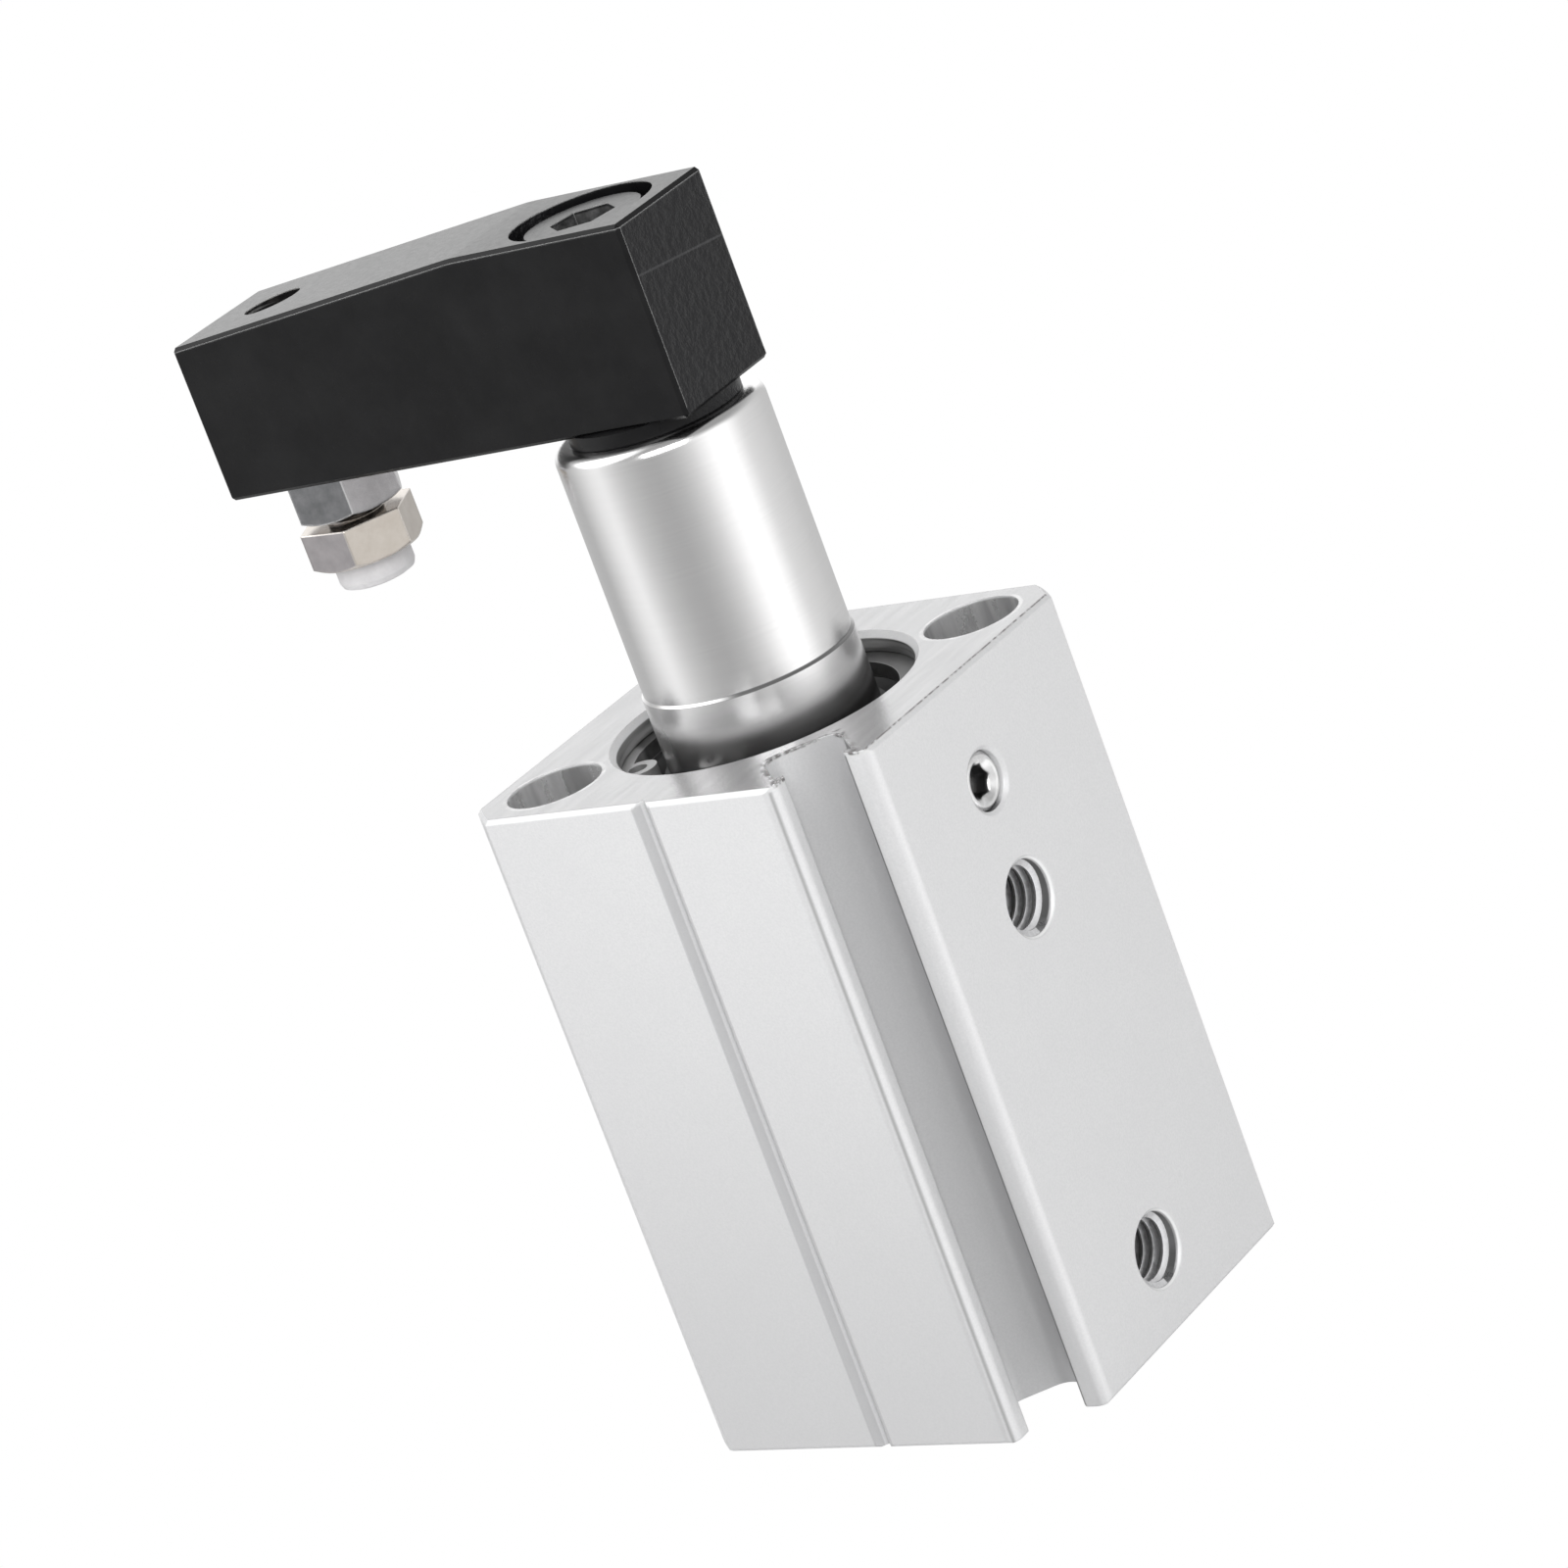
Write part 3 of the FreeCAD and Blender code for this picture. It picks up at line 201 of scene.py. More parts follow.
link(speckle, level.outputs[0], result.inputs["Mask"])

lines, given, result = new_group(
    "lines",
    (("Vector", "NodeSocketVector", None), ("Stretch", "NodeSocketVector", (1, 1, 0.02)),
     ("Size", "NodeSocketFloat", 0.0002), ("Low", "NodeSocketFloat", 0.35),
     ("High", "NodeSocketFloat", 0.65)),
    ("Mask",),
)
squeezed = node(lines, "ShaderNodeVectorMath", operation="MULTIPLY")
link(lines, given.outputs["Vector"], squeezed.inputs[0])
link(lines, given.outputs["Stretch"], squeezed.inputs[1])
noise = node(lines, "ShaderNodeTexNoise")
noise.inputs["Detail"].default_value = 2
link(lines, squeezed.outputs[0], noise.inputs["Vector"])
link(lines, math_node(lines, "DIVIDE", 1.0, given.outputs["Size"]), noise.inputs["Scale"])
level = node(lines, "ShaderNodeMapRange")
link(lines, noise.outputs[0], level.inputs["Value"])
link(lines, given.outputs["Low"], level.inputs["From Min"])
link(lines, given.outputs["High"], level.inputs["From Max"])
link(lines, level.outputs[0], result.inputs["Mask"])

edges, given, result = new_group("edges", (("Radius", "NodeSocketFloat", 0.0002),), ("Mask", "Upward"))
rounded = node(edges, "ShaderNodeBevel", samples=6)
link(edges, given.outputs["Radius"], rounded.inputs["Radius"])
flat = node(edges, "ShaderNodeNewGeometry")
agreement = node(edges, "ShaderNodeVectorMath", operation="DOT_PRODUCT")
link(edges, rounded.outputs[0], agreement.inputs[0])
link(edges, flat.outputs["Normal"], agreement.inputs[1])
turned_away = node(edges, "ShaderNodeMapRange")
link(edges, agreement.outputs["Value"], turned_away.inputs["Value"])
turned_away.inputs["From Min"].default_value = 0.995
turned_away.inputs["From Max"].default_value = 0.88
link(edges, turned_away.outputs[0], result.inputs["Mask"])
tilt = node(edges, "ShaderNodeSeparateXYZ")
link(edges, rounded.outputs[0], tilt.inputs[0])
link(edges, tilt.outputs["Z"], result.inputs["Upward"])


def use(tree, group, output="Mask", **inputs):
    """One use of a node group, with numbers or sockets for its inputs."""
    made = node(tree, "ShaderNodeGroup", node_tree=group)
    for label, value in inputs.items():
        if isinstance(value, bpy.types.NodeSocket):
            link(tree, value, made.inputs[label])
        else:
            made.inputs[label].default_value = value
    return made.outputs[output]


def blend_colors(tree, mask, low, high):
    """A colour that goes from low to high with a mask. Either may be a socket."""
    made = node(tree, "ShaderNodeMix", data_type="RGBA")
    link(tree, mask, made.inputs["Factor"])
    for socket, value in ((made.inputs[6], low), (made.inputs[7], high)):
        if isinstance(value, bpy.types.NodeSocket):
            link(tree, value, socket)
        else:
            socket.default_value = (*value, 1)
    return made.outputs[2]


def remap(tree, mask, low, high):
    """The mask's 0 to 1 spread over low to high."""
    return math_node(tree, "MULTIPLY_ADD", mask, high - low, low)


def raise_by(tree, height, depth, normal=None):
    """A bump from a height mask, depth in metres."""
    made = node(tree, "ShaderNodeBump")
    made.inputs["Strength"].default_value = 1.0
    made.inputs["Distance"].default_value = depth
    link(tree, height, made.inputs["Height"])
    if normal:
        link(tree, normal, made.inputs["Normal"])
    return made.outputs[0]


def new_material(name, metallic, roughness, color=(0.5, 0.5, 0.5)):
    """A material with its shader, its node tree and the object's own coordinates."""
    made = bpy.data.materials.new(name)
    made.use_nodes = True
    shader = made.node_tree.nodes["Principled BSDF"]
    shader.inputs["Metallic"].default_value = metallic
    shader.inputs["Roughness"].default_value = roughness
    shader.inputs["Base Color"].default_value = (*color, 1)
    made.diffuse_color = (*color, 1)
    return made, made.node_tree, shader, node(made.node_tree, "ShaderNodeTexCoord").outputs["Object"]


def dress(material, *names):
    """Give CAD nodes a material."""
    for name in names:
        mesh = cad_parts[name].data
        mesh.materials.clear()
        mesh.materials.append(material)


def soft_edges(tree, radius):
    """The surface's normal with its edges rounded, so that they catch the light."""
    made = node(tree, "ShaderNodeBevel", samples=6)
    made.inputs["Radius"].default_value = radius
    return made.outputs[0]


def split(tree, spot):
    """The X, Y and Z of a place."""
    made = node(tree, "ShaderNodeSeparateXYZ")
    link(tree, spot, made.inputs[0])
    return made.outputs["X"], made.outputs["Y"], made.outputs["Z"]


def times(tree, *masks):
    """The product of masks."""
    product = masks[0]
    for mask in masks[1:]:
        product = math_node(tree, "MULTIPLY", product, mask)
    return product


def either(tree, masks):
    """The sum of masks, 1 at most."""
    total = masks[0]
    for mask in masks[1:]:
        total = math_node(tree, "ADD", total, mask, clamp=True)
    return total


def off_by(tree, value, middle):
    """How far a value lies from a middle."""
    return math_node(tree, "ABSOLUTE", math_node(tree, "SUBTRACT", value, middle))


def leaning(tree, x, y, weights):
    """Two coordinates as one along a slanting direction."""
    return math_node(tree, "MULTIPLY_ADD", x, weights[0], math_node(tree, "MULTIPLY", y, weights[1]))


def reach(tree, first, second, centre):
    """Distance of a place from a line along the third axis, given its two other coordinates."""
    gaps = [math_node(tree, "SUBTRACT", value, at) for value, at in zip((first, second), centre)]
    squares = [math_node(tree, "MULTIPLY", gap, gap) for gap in gaps]
    return math_node(tree, "SQRT", math_node(tree, "ADD", squares[0], squares[1]))


# Cylinder body: extruded aluminium, etched and clear anodised to a pale satin with fine grains and
# faint die lines along Z. The sawn and faced top is painted greyer as shade, with burrs left dark along
# the slot and the port side's edge. The counterbores are turned bright, with painted reflection streaks;
# the bore and the port walls are painted dark as shade, and the port countersinks bright as light.

MM = 0.001
TOP = 46.7
PORT_LEVELS = (31.2, 5.5)
SEATS = ((10.25 * MM, 10.25 * MM), (-10.25 * MM, -10.25 * MM))
DIAGONAL = 2 ** -0.5

anodised, tree, shader, spot = new_material("satin_anodised", 0.35, 0.44, (0.74, 0.74, 0.745))
x, y, z = split(tree, spot)
nx, ny, nz = split(tree, node(tree, "ShaderNodeTexCoord").outputs["Normal"])
facing = spread(tree, nz, 0.8, 0.98)
below_chamfer = spread(tree, z, (TOP - 0.1) * MM, (TOP - 0.3) * MM)
grains = use(tree, speckle, Vector=spot, Size=0.00016, Low=0.32, High=0.68)
clouds = use(tree, speckle, Vector=spot, Size=0.004, Low=0.25, High=0.75)
die_lines = use(tree, lines, Vector=spot, Stretch=(1, 1, 0.012), Size=0.00035, Low=0.3, High=0.7)
base = blend_colors(tree, grains, (0.725, 0.727, 0.733), (0.79, 0.79, 0.795))
base = blend_colors(tree, remap(tree, clouds, 0.0, 0.25), base, (0.71, 0.71, 0.72))

# The sensor slot runs down the corner: its floor is painted darker to the right as shade, its right
# lip's side dark as shadow, and the V-groove and the start of the left lip carry painted shade too.
across = leaning(tree, x, y, (DIAGONAL, DIAGONAL))
along = leaning(tree, x, y, (DIAGONAL, -DIAGONAL))
aside = math_node(tree, "ABSOLUTE", across)
in_slot = times(tree, spread(tree, along, 11.7 * MM, 11.85 * MM), spread(tree, along, 16.7 * MM, 16.2 * MM),
                spread(tree, aside, 2.75 * MM, 2.65 * MM))
# Painted shade on the slot's floor, darker towards its right side.
painted_slot_shade = times(tree, in_slot, spread(tree, across, -2.2 * MM, 2.6 * MM))
base = blend_colors(tree, remap(tree, painted_slot_shade, 0.0, 0.40), base, (0.34, 0.34, 0.35))
# Painted shade on the flanks of the V-groove in the front face.
painted_groove_shade = times(tree, spread(tree, math_node(tree, "ABSOLUTE", x), 0.80 * MM, 0.70 * MM),
                spread(tree, off_by(tree, x, -0.12 * MM), 0.04 * MM, 0.12 * MM), below_chamfer,
                spread(tree, y, -14.3 * MM, -14.5 * MM))
base = blend_colors(tree, remap(tree, painted_groove_shade, 0.0, 0.5), base, (0.40, 0.40, 0.41))
# Painted shadow on the right lip's side wall.
painted_lip_shadow = times(tree, spread(tree, math_node(tree, "ADD", nx, ny), -1.2, -1.38),
                 spread(tree, across, 1.7 * MM, 1.9 * MM), spread(tree, along, 13.4 * MM, 13.6 * MM),
                 below_chamfer)
base = blend_colors(tree, remap(tree, painted_lip_shadow, 0.0, 0.85), base, (0.10, 0.10, 0.10))
# Painted shade: a dark line on the front face where the left lip starts.
painted_lip_line_shade = times(tree, spread(tree, off_by(tree, x, 10.25 * MM), 0.22 * MM, 0.05 * MM),
                  spread(tree, y, -14.6 * MM, -14.8 * MM),
                  spread(tree, z, (TOP - 0.2) * MM, (TOP - 0.4) * MM))
base = blend_colors(tree, remap(tree, painted_lip_line_shade, 0.0, 0.6), base, (0.20, 0.20, 0.20))

# The bore above the cover is painted dark as shade in its recess, over turned rings, and so are the
# ports' walls, under countersinks that are painted bright as light.
# Painted shade inside the bore's recess, over turned rings.
recess = times(tree, spread(tree, reach(tree, x, y, (0, 0)), 11.3 * MM, 11.2 * MM),
               spread(tree, z, (TOP - 0.35) * MM, (TOP - 0.45) * MM))
turned = use(tree, lines, Vector=spot, Stretch=(0.08, 0.08, 1), Size=0.0006, Low=0.35, High=0.65)
base = blend_colors(tree, recess, base, blend_colors(tree, turned, (0.10, 0.10, 0.10), (0.42, 0.42, 0.42)))
gaps = [reach(tree, y, z, (0, level * MM)) for level in PORT_LEVELS]
# Painted light: the ports' countersinks are made bright.
painted_bright_countersinks = either(tree, [
    times(tree, spread(tree, gap, 2.9 * MM, 2.85 * MM), spread(tree, gap, 2.5 * MM, 2.55 * MM),
          spread(tree, x, 14.98 * MM, 14.9 * MM), spread(tree, x, 14.6 * MM, 14.7 * MM))
    for gap in gaps
])
base = blend_colors(tree, painted_bright_countersinks, base, (0.97, 0.97, 0.97))
# Painted shade on the ports' walls below the countersinks.
painted_port_wall_shade = either(tree, [
    times(tree, spread(tree, gap, 2.76 * MM, 2.74 * MM), spread(tree, x, 14.7 * MM, 14.6 * MM),
          spread(tree, x, 10.4 * MM, 10.5 * MM))
    for gap in gaps
])
base = blend_colors(tree, painted_port_wall_shade, base, (0.16, 0.16, 0.16))
# Painted shade: the front face gets darker towards the foot.
painted_front_shade = times(tree, spread(tree, ny, -0.8, -0.98), spread(tree, z, 48 * MM, -6 * MM))
base = blend_colors(tree, remap(tree, painted_front_shade, 0.0, 0.42), base, (0.40, 0.40, 0.405))

# The faced top, painted greyer as shade, and the counterbores, with tool marks, painted reflection
# streaks, rims painted with a highlight, and burrs.
swirls = use(tree, lines, Vector=spot, Stretch=(1, 0.15, 1), Size=0.0009, Low=0.3, High=0.7)
# Painted shade: the faced top is greyer than the sides; the swirls are tool marks.
top_tool_marks_and_shade = blend_colors(tree, swirls, (0.455, 0.455, 0.46), (0.52, 0.52, 0.525))
base = blend_colors(tree, facing, base, top_tool_marks_and_shade)
gaps = [reach(tree, x, y, seat) for seat in SEATS]
under_rim = spread(tree, z, (TOP - 0.05) * MM, (TOP - 0.2) * MM)
holes = either(tree, [times(tree, spread(tree, gap, 3.32 * MM, 3.27 * MM), under_rim) for gap in gaps])
highlit_rims = either(tree, [times(tree, spread(tree, gap, 3.62 * MM, 3.42 * MM), facing) for gap in gaps])
# Painted reflections: strong bright and dark streaks on the counterbores' walls.
tool_streaks_and_reflections = use(tree, lines, Vector=spot, Stretch=(1, 1, 0.1), Size=0.0016, Low=0.36, High=0.64)
base = blend_colors(tree, holes, base, blend_colors(tree, tool_streaks_and_reflections, (0.34, 0.34, 0.345), (0.97, 0.97, 0.97)))
# Painted highlight on the rims round the counterbores.
painted_highlight = use(tree, speckle, Vector=spot, Size=0.0026, Low=0.42, High=0.58)
base = blend_colors(tree, times(tree, highlit_rims, painted_highlight), base, (0.66, 0.66, 0.66))
flakes = use(tree, speckle, Vector=spot, Size=0.0007, Low=0.47, High=0.60)
slot_burr = times(tree, spread(tree, along, 11.7 * MM, 11.85 * MM), spread(tree, aside, 3.0 * MM, 2.7 * MM),
                  spread(tree, z, (TOP - 0.25) * MM, (TOP - 0.1) * MM), flakes)
base = blend_colors(tree, slot_burr, base, (0.20, 0.19, 0.19))
port_edge = spread(tree, reach(tree, x, z, (14.72 * MM, TOP * MM)), 0.11 * MM, 0.03 * MM)
port_edge = times(tree, port_edge, use(tree, speckle, Vector=spot, Size=0.0004, Low=0.38, High=0.55))
link(tree, blend_colors(tree, port_edge, base, (0.26, 0.25, 0.25)), shader.inputs["Base Color"])

metal = math_node(tree, "MAXIMUM", times(tree, holes, tool_streaks_and_reflections), facing)
link(tree, remap(tree, metal, 0.35, 0.95), shader.inputs["Metallic"])
rough = math_node(tree, "MULTIPLY_ADD", metal, -0.22, remap(tree, grains, 0.40, 0.48))
link(tree, rough, shader.inputs["Roughness"])
bumps = raise_by(tree, slot_burr, 0.00004, soft_edges(tree, 0.00014))
bumps = raise_by(tree, grains, 0.000003, bumps)
link(tree, raise_by(tree, die_lines, 0.000002, bumps), shader.inputs["Normal"])
dress(anodised, "cylinder_body")

# Lock nut: a hexagon nut of zinc plated steel on the clamp bolt, drawn up under the arm. It is grey, with
# smooth facets painted paler on one side as light, and edges painted bright as highlights. The guide
# post's screw is plated alike.

# The side from which the nut's and bolt's facets are painted lit.
PAINTED_LIGHT_FROM = (0.77, 0.64)
PLATED_EDGE = 0.22 * MM

zinc, tree, shader, spot = new_material("zinc_plate", 1.0, 0.24, (0.32, 0.32, 0.33))
nx, ny = split(tree, node(tree, "ShaderNodeTexCoord").outputs["Normal"])[:2]
blotches = use(tree, speckle, Vector=spot, Size=0.0009, Low=0.3, High=0.7)
base = blend_colors(tree, blotches, (0.20, 0.205, 0.21), (0.30, 0.30, 0.31))
painted_lit_facets = blend_colors(tree, blotches, (0.56, 0.55, 0.56), (0.62, 0.61, 0.62))
# Painted light: facets facing the light side are paler.
base = blend_colors(tree, spread(tree, leaning(tree, nx, ny, PAINTED_LIGHT_FROM), -0.1, 0.1), base, painted_lit_facets)
# Painted highlight on the edges.
base = blend_colors(tree, use(tree, edges, Radius=PLATED_EDGE), base, (0.85, 0.85, 0.85))
link(tree, base, shader.inputs["Base Color"])
link(tree, remap(tree, blotches, 0.20, 0.27), shader.inputs["Roughness"])
link(tree, raise_by(tree, blotches, 0.000002, soft_edges(tree, PLATED_EDGE)), shader.inputs["Normal"])
dress(zinc, "clamp_lock_nut", "post_screw")

# Set screw: bright plated steel with a turned cup round its hexagon. It is screwed into the port face
# and locks the rod cover.

bright_steel, tree, shader, spot = new_material("bright_steel", 1.0, 0.22, (0.80, 0.80, 0.80))
x = split(tree, spot)[0]
blotches = use(tree, speckle, Vector=spot, Size=0.0006, Low=0.3, High=0.7)
base = blend_colors(tree, blotches, (0.76, 0.76, 0.76), (0.86, 0.86, 0.86))
# Painted shade: the screw's deeper part, in its socket and in the hole, is dark.
link(tree, blend_colors(tree, spread(tree, x, 14.25 * MM, 13.9 * MM), base, (0.24, 0.24, 0.24)),
     shader.inputs["Base Color"])
link(tree, remap(tree, blotches, 0.18, 0.26), shader.inputs["Roughness"])
link(tree, raise_by(tree, blotches, 0.000002, soft_edges(tree, PLATED_EDGE)), shader.inputs["Normal"])
dress(bright_steel, "cover_lock_screw")

# Clamp bolt: nickel plated steel, head down in the arm's tip, with a slight warm tint, facets on one side
# painted darker as shade and the head's edges painted bright as highlights. Its thread is a twisted wave
# of raised ridges, with painted shade in its grooves.

BOLT = (-26.07 * MM, -1.23 * MM)
THREAD_PITCH = 0.7 * MM
HEAD_TOP = 64.07 * MM

nickel, tree, shader, spot = new_material("nickel_plate", 1.0, 0.18, (0.54, 0.49, 0.45))
x, y, z = split(tree, spot)
nx, ny = split(tree, node(tree, "ShaderNodeTexCoord").outputs["Normal"])[:2]
blotches = use(tree, speckle, Vector=spot, Size=0.0014, Low=0.3, High=0.7)
shank = times(tree, spread(tree, reach(tree, x, y, BOLT), 2.1 * MM, 2.0 * MM),
              spread(tree, z, HEAD_TOP, HEAD_TOP + 0.03 * MM), spread(tree, z, 78.2 * MM, 78.1 * MM))
twist = math_node(tree, "ARCTAN2", math_node(tree, "SUBTRACT", y, BOLT[1]),
                  math_node(tree, "SUBTRACT", x, BOLT[0]))
wave = math_node(tree, "SINE", math_node(tree, "MULTIPLY_ADD", z, 2 * math.pi / THREAD_PITCH, twist))
painted_thread_shade = times(tree, spread(tree, wave, 0.5, -0.5), shank)
ridge = times(tree, spread(tree, wave, -0.5, 0.5), shank)
base = blend_colors(tree, blotches, (0.57, 0.52, 0.465), (0.65, 0.60, 0.545))
painted_shaded_facets = blend_colors(tree, blotches, (0.30, 0.285, 0.29), (0.38, 0.36, 0.365))
# Painted shade: facets turned away from the light side are darker.
base = blend_colors(tree, spread(tree, leaning(tree, nx, ny, PAINTED_LIGHT_FROM), -0.40, -0.55), base, painted_shaded_facets)
# Painted highlight on the edges near the head's top.
painted_edge_highlight = times(tree, use(tree, edges, Radius=PLATED_EDGE),
               spread(tree, z, HEAD_TOP + 0.13 * MM, HEAD_TOP - 0.07 * MM))
base = blend_colors(tree, painted_edge_highlight, base, (0.95, 0.90, 0.85))
# Painted shade in the thread's grooves.
link(tree, blend_colors(tree, painted_thread_shade, base, (0.05, 0.045, 0.04)), shader.inputs["Base Color"])
link(tree, remap(tree, blotches, 0.15, 0.20), shader.inputs["Roughness"])
bumps = raise_by(tree, ridge, 0.0001, soft_edges(tree, PLATED_EDGE))
link(tree, raise_by(tree, blotches, 0.000002, bumps), shader.inputs["Normal"])
dress(nickel, "clamp_bolt")

# Clamp pad: a white plastic button under the bolt's head, slightly translucent and a little rough. The
# piston's wear ring is of the same plastic.

plastic, tree, shader, spot = new_material("white_plastic", 0.0, 0.40, (0.86, 0.86, 0.85))
blotches = use(tree, speckle, Vector=spot, Size=0.0005, Low=0.3, High=0.7)
link(tree, blend_colors(tree, blotches, (0.67, 0.66, 0.67), (0.73, 0.72, 0.73)), shader.inputs["Base Color"])
link(tree, remap(tree, blotches, 0.34, 0.48), shader.inputs["Roughness"])
link(tree, raise_by(tree, blotches, 0.000005), shader.inputs["Normal"])
shader.inputs["Subsurface Weight"].default_value = 0.15
shader.inputs["Subsurface Radius"].default_value = (0.001, 0.001, 0.001)
dress(plastic, "clamp_pad", "wear_ring")

# Retaining ring: stamped from spring steel and phosphated, and sprung into the bore to hold the cover.
# It is dull grey, with its lugs and edges rubbed lighter.

TO_LUGS = (-0.5, -0.866)

phosphate, tree, shader, spot = new_material("phosphated_steel", 0.8, 0.45, (0.30, 0.30, 0.30))
blotches = use(tree, speckle, Vector=spot, Size=0.0005, Low=0.3, High=0.7)
sharp = use(tree, edges, Radius=0.00012)
base = blend_colors(tree, blotches, (0.13, 0.13, 0.13), (0.20, 0.20, 0.20))
x, y = split(tree, spot)[:2]
outward = leaning(tree, x, y, TO_LUGS)
lugs = times(tree, spread(tree, outward, 6.2 * MM, 6.8 * MM), spread(tree, outward, 9.6 * MM, 9.3 * MM))
base = blend_colors(tree, lugs, base, (0.50, 0.50, 0.50))
base = blend_colors(tree, remap(tree, sharp, 0.0, 0.6), base, (0.5, 0.5, 0.5))
link(tree, base, shader.inputs["Base Color"])
link(tree, remap(tree, blotches, 0.38, 0.52), shader.inputs["Roughness"])
link(tree, raise_by(tree, blotches, 0.000004), shader.inputs["Normal"])
dress(phosphate, "retaining_ring")

# Rod cover: turned aluminium, grey anodised, with fine rings from the tool. It sits in the bore's wider
# entry under the retaining ring.

grey_cover, tree, shader, spot = new_material("grey_anodised", 0.6, 0.40, (0.30, 0.30, 0.31))
rings = use(tree, lines, Vector=spot, Stretch=(0.05, 0.05, 1), Size=0.0003, Low=0.3, High=0.7)
link(tree, blend_colors(tree, rings, (0.26, 0.26, 0.27), (0.36, 0.36, 0.37)), shader.inputs["Base Color"])
link(tree, remap(tree, rings, 0.35, 0.48), shader.inputs["Roughness"])
link(tree, raise_by(tree, rings, 0.000003), shader.inputs["Normal"])
dress(grey_cover, "rod_cover")

# Steel inside: the guide post on the bore's floor, its dowel, and the follower pin pressed through the
# rod. They are hardened and ground.

ground_steel, tree, shader, spot = new_material("ground_steel", 1.0, 0.28, (0.55, 0.55, 0.56))
rings = use(tree, lines, Vector=spot, Stretch=(0.05, 0.05, 1), Size=0.0002, Low=0.3, High=0.7)
link(tree, blend_colors(tree, rings, (0.50, 0.50, 0.51), (0.62, 0.62, 0.63)), shader.inputs["Base Color"])
link(tree, remap(tree, rings, 0.22, 0.36), shader.inputs["Roughness"])
dress(ground_steel, "guide_post", "post_dowel", "follower_pin")

# Piston: turned aluminium, left plain, with fine rings from the tool. It sits on the spigot at the
# rod's foot.

turned_alloy, tree, shader, spot = new_material("turned_aluminium", 1.0, 0.35, (0.76, 0.76, 0.77))
rings = use(tree, lines, Vector=spot, Stretch=(0.05, 0.05, 1), Size=0.0003, Low=0.3, High=0.7)
link(tree, blend_colors(tree, rings, (0.70, 0.70, 0.71), (0.82, 0.82, 0.83)), shader.inputs["Base Color"])
link(tree, remap(tree, rings, 0.28, 0.42), shader.inputs["Roughness"])
dress(turned_alloy, "piston")

# Rod bush: a ring of oil-soaked sintered bronze with open pores, pressed into the rod cover, which
# guides the rod.

bronze, tree, shader, spot = new_material("sintered_bronze", 0.9, 0.45, (0.50, 0.38, 0.22))
pores = use(tree, speckle, Vector=spot, Size=0.0003, Low=0.35, High=0.6)
link(tree, blend_colors(tree, pores, (0.30, 0.22, 0.13), (0.55, 0.42, 0.25)), shader.inputs["Base Color"])
link(tree, remap(tree, pores, 0.38, 0.58), shader.inputs["Roughness"])
link(tree, raise_by(tree, pores, 0.000008), shader.inputs["Normal"])
dress(bronze, "rod_bush")

# Seals, O-rings and magnet: moulded black rubber with a slight bloom, sprung into their grooves. The
# magnet ring is bonded and looks the same.

rubber, tree, shader, spot = new_material("black_rubber", 0.0, 0.5, (0.022, 0.022, 0.022))
bloom = use(tree, speckle, Vector=spot, Size=0.0007, Low=0.3, High=0.75)
base = blend_colors(tree, bloom, (0.016, 0.016, 0.016), (0.034, 0.034, 0.034))
link(tree, base, shader.inputs["Base Color"])
link(tree, remap(tree, bloom, 0.42, 0.6), shader.inputs["Roughness"])
link(tree, raise_by(tree, bloom, 0.000006), shader.inputs["Normal"])
dress(rubber, "rod_seal", "rod_scraper", "cover_o_ring", "post_o_ring", "piston_seal", "piston_o_ring",
      "piston_magnet")

# Bumpers: rings moulded from amber polyurethane, one above the piston and one below, that soften the
# ends of its stroke.

urethane, tree, shader, spot = new_material("polyurethane", 0.0, 0.35, (0.32, 0.13, 0.04))
bloom = use(tree, speckle, Vector=spot, Size=0.0009, Low=0.3, High=0.75)
link(tree, blend_colors(tree, bloom, (0.28, 0.11, 0.035), (0.38, 0.17, 0.06)), shader.inputs["Base Color"])
link(tree, remap(tree, bloom, 0.3, 0.45), shader.inputs["Roughness"])
dress(urethane, "rod_side_bumper", "head_side_bumper")

# Piston rod: turned from bar, its top edge well rounded, tapped above and bored below, hard chromed and
# fine ground round its axis. Its foot is a little rougher and painted darker as shade, and the narrow step
# is painted darker on one side as shade. The mesh is a circle drawn out ring by ring along the turned
# outline.

SMOOTH_BELOW = math.radians(25)


def select_only(piece):
    """Make a piece the only one selected, and the active one."""
    bpy.ops.object.select_all(action="DESELECT")
    piece.select_set(True)
    bpy.context.view_layer.objects.active = piece


def bake_place(piece, turn, place):
    """Turn and move a piece's mesh, so that its object stays at the origin."""
    piece.rotation_euler = turn
    piece.location = place
    select_only(piece)
    bpy.ops.object.transform_apply(location=True, rotation=True, scale=True)


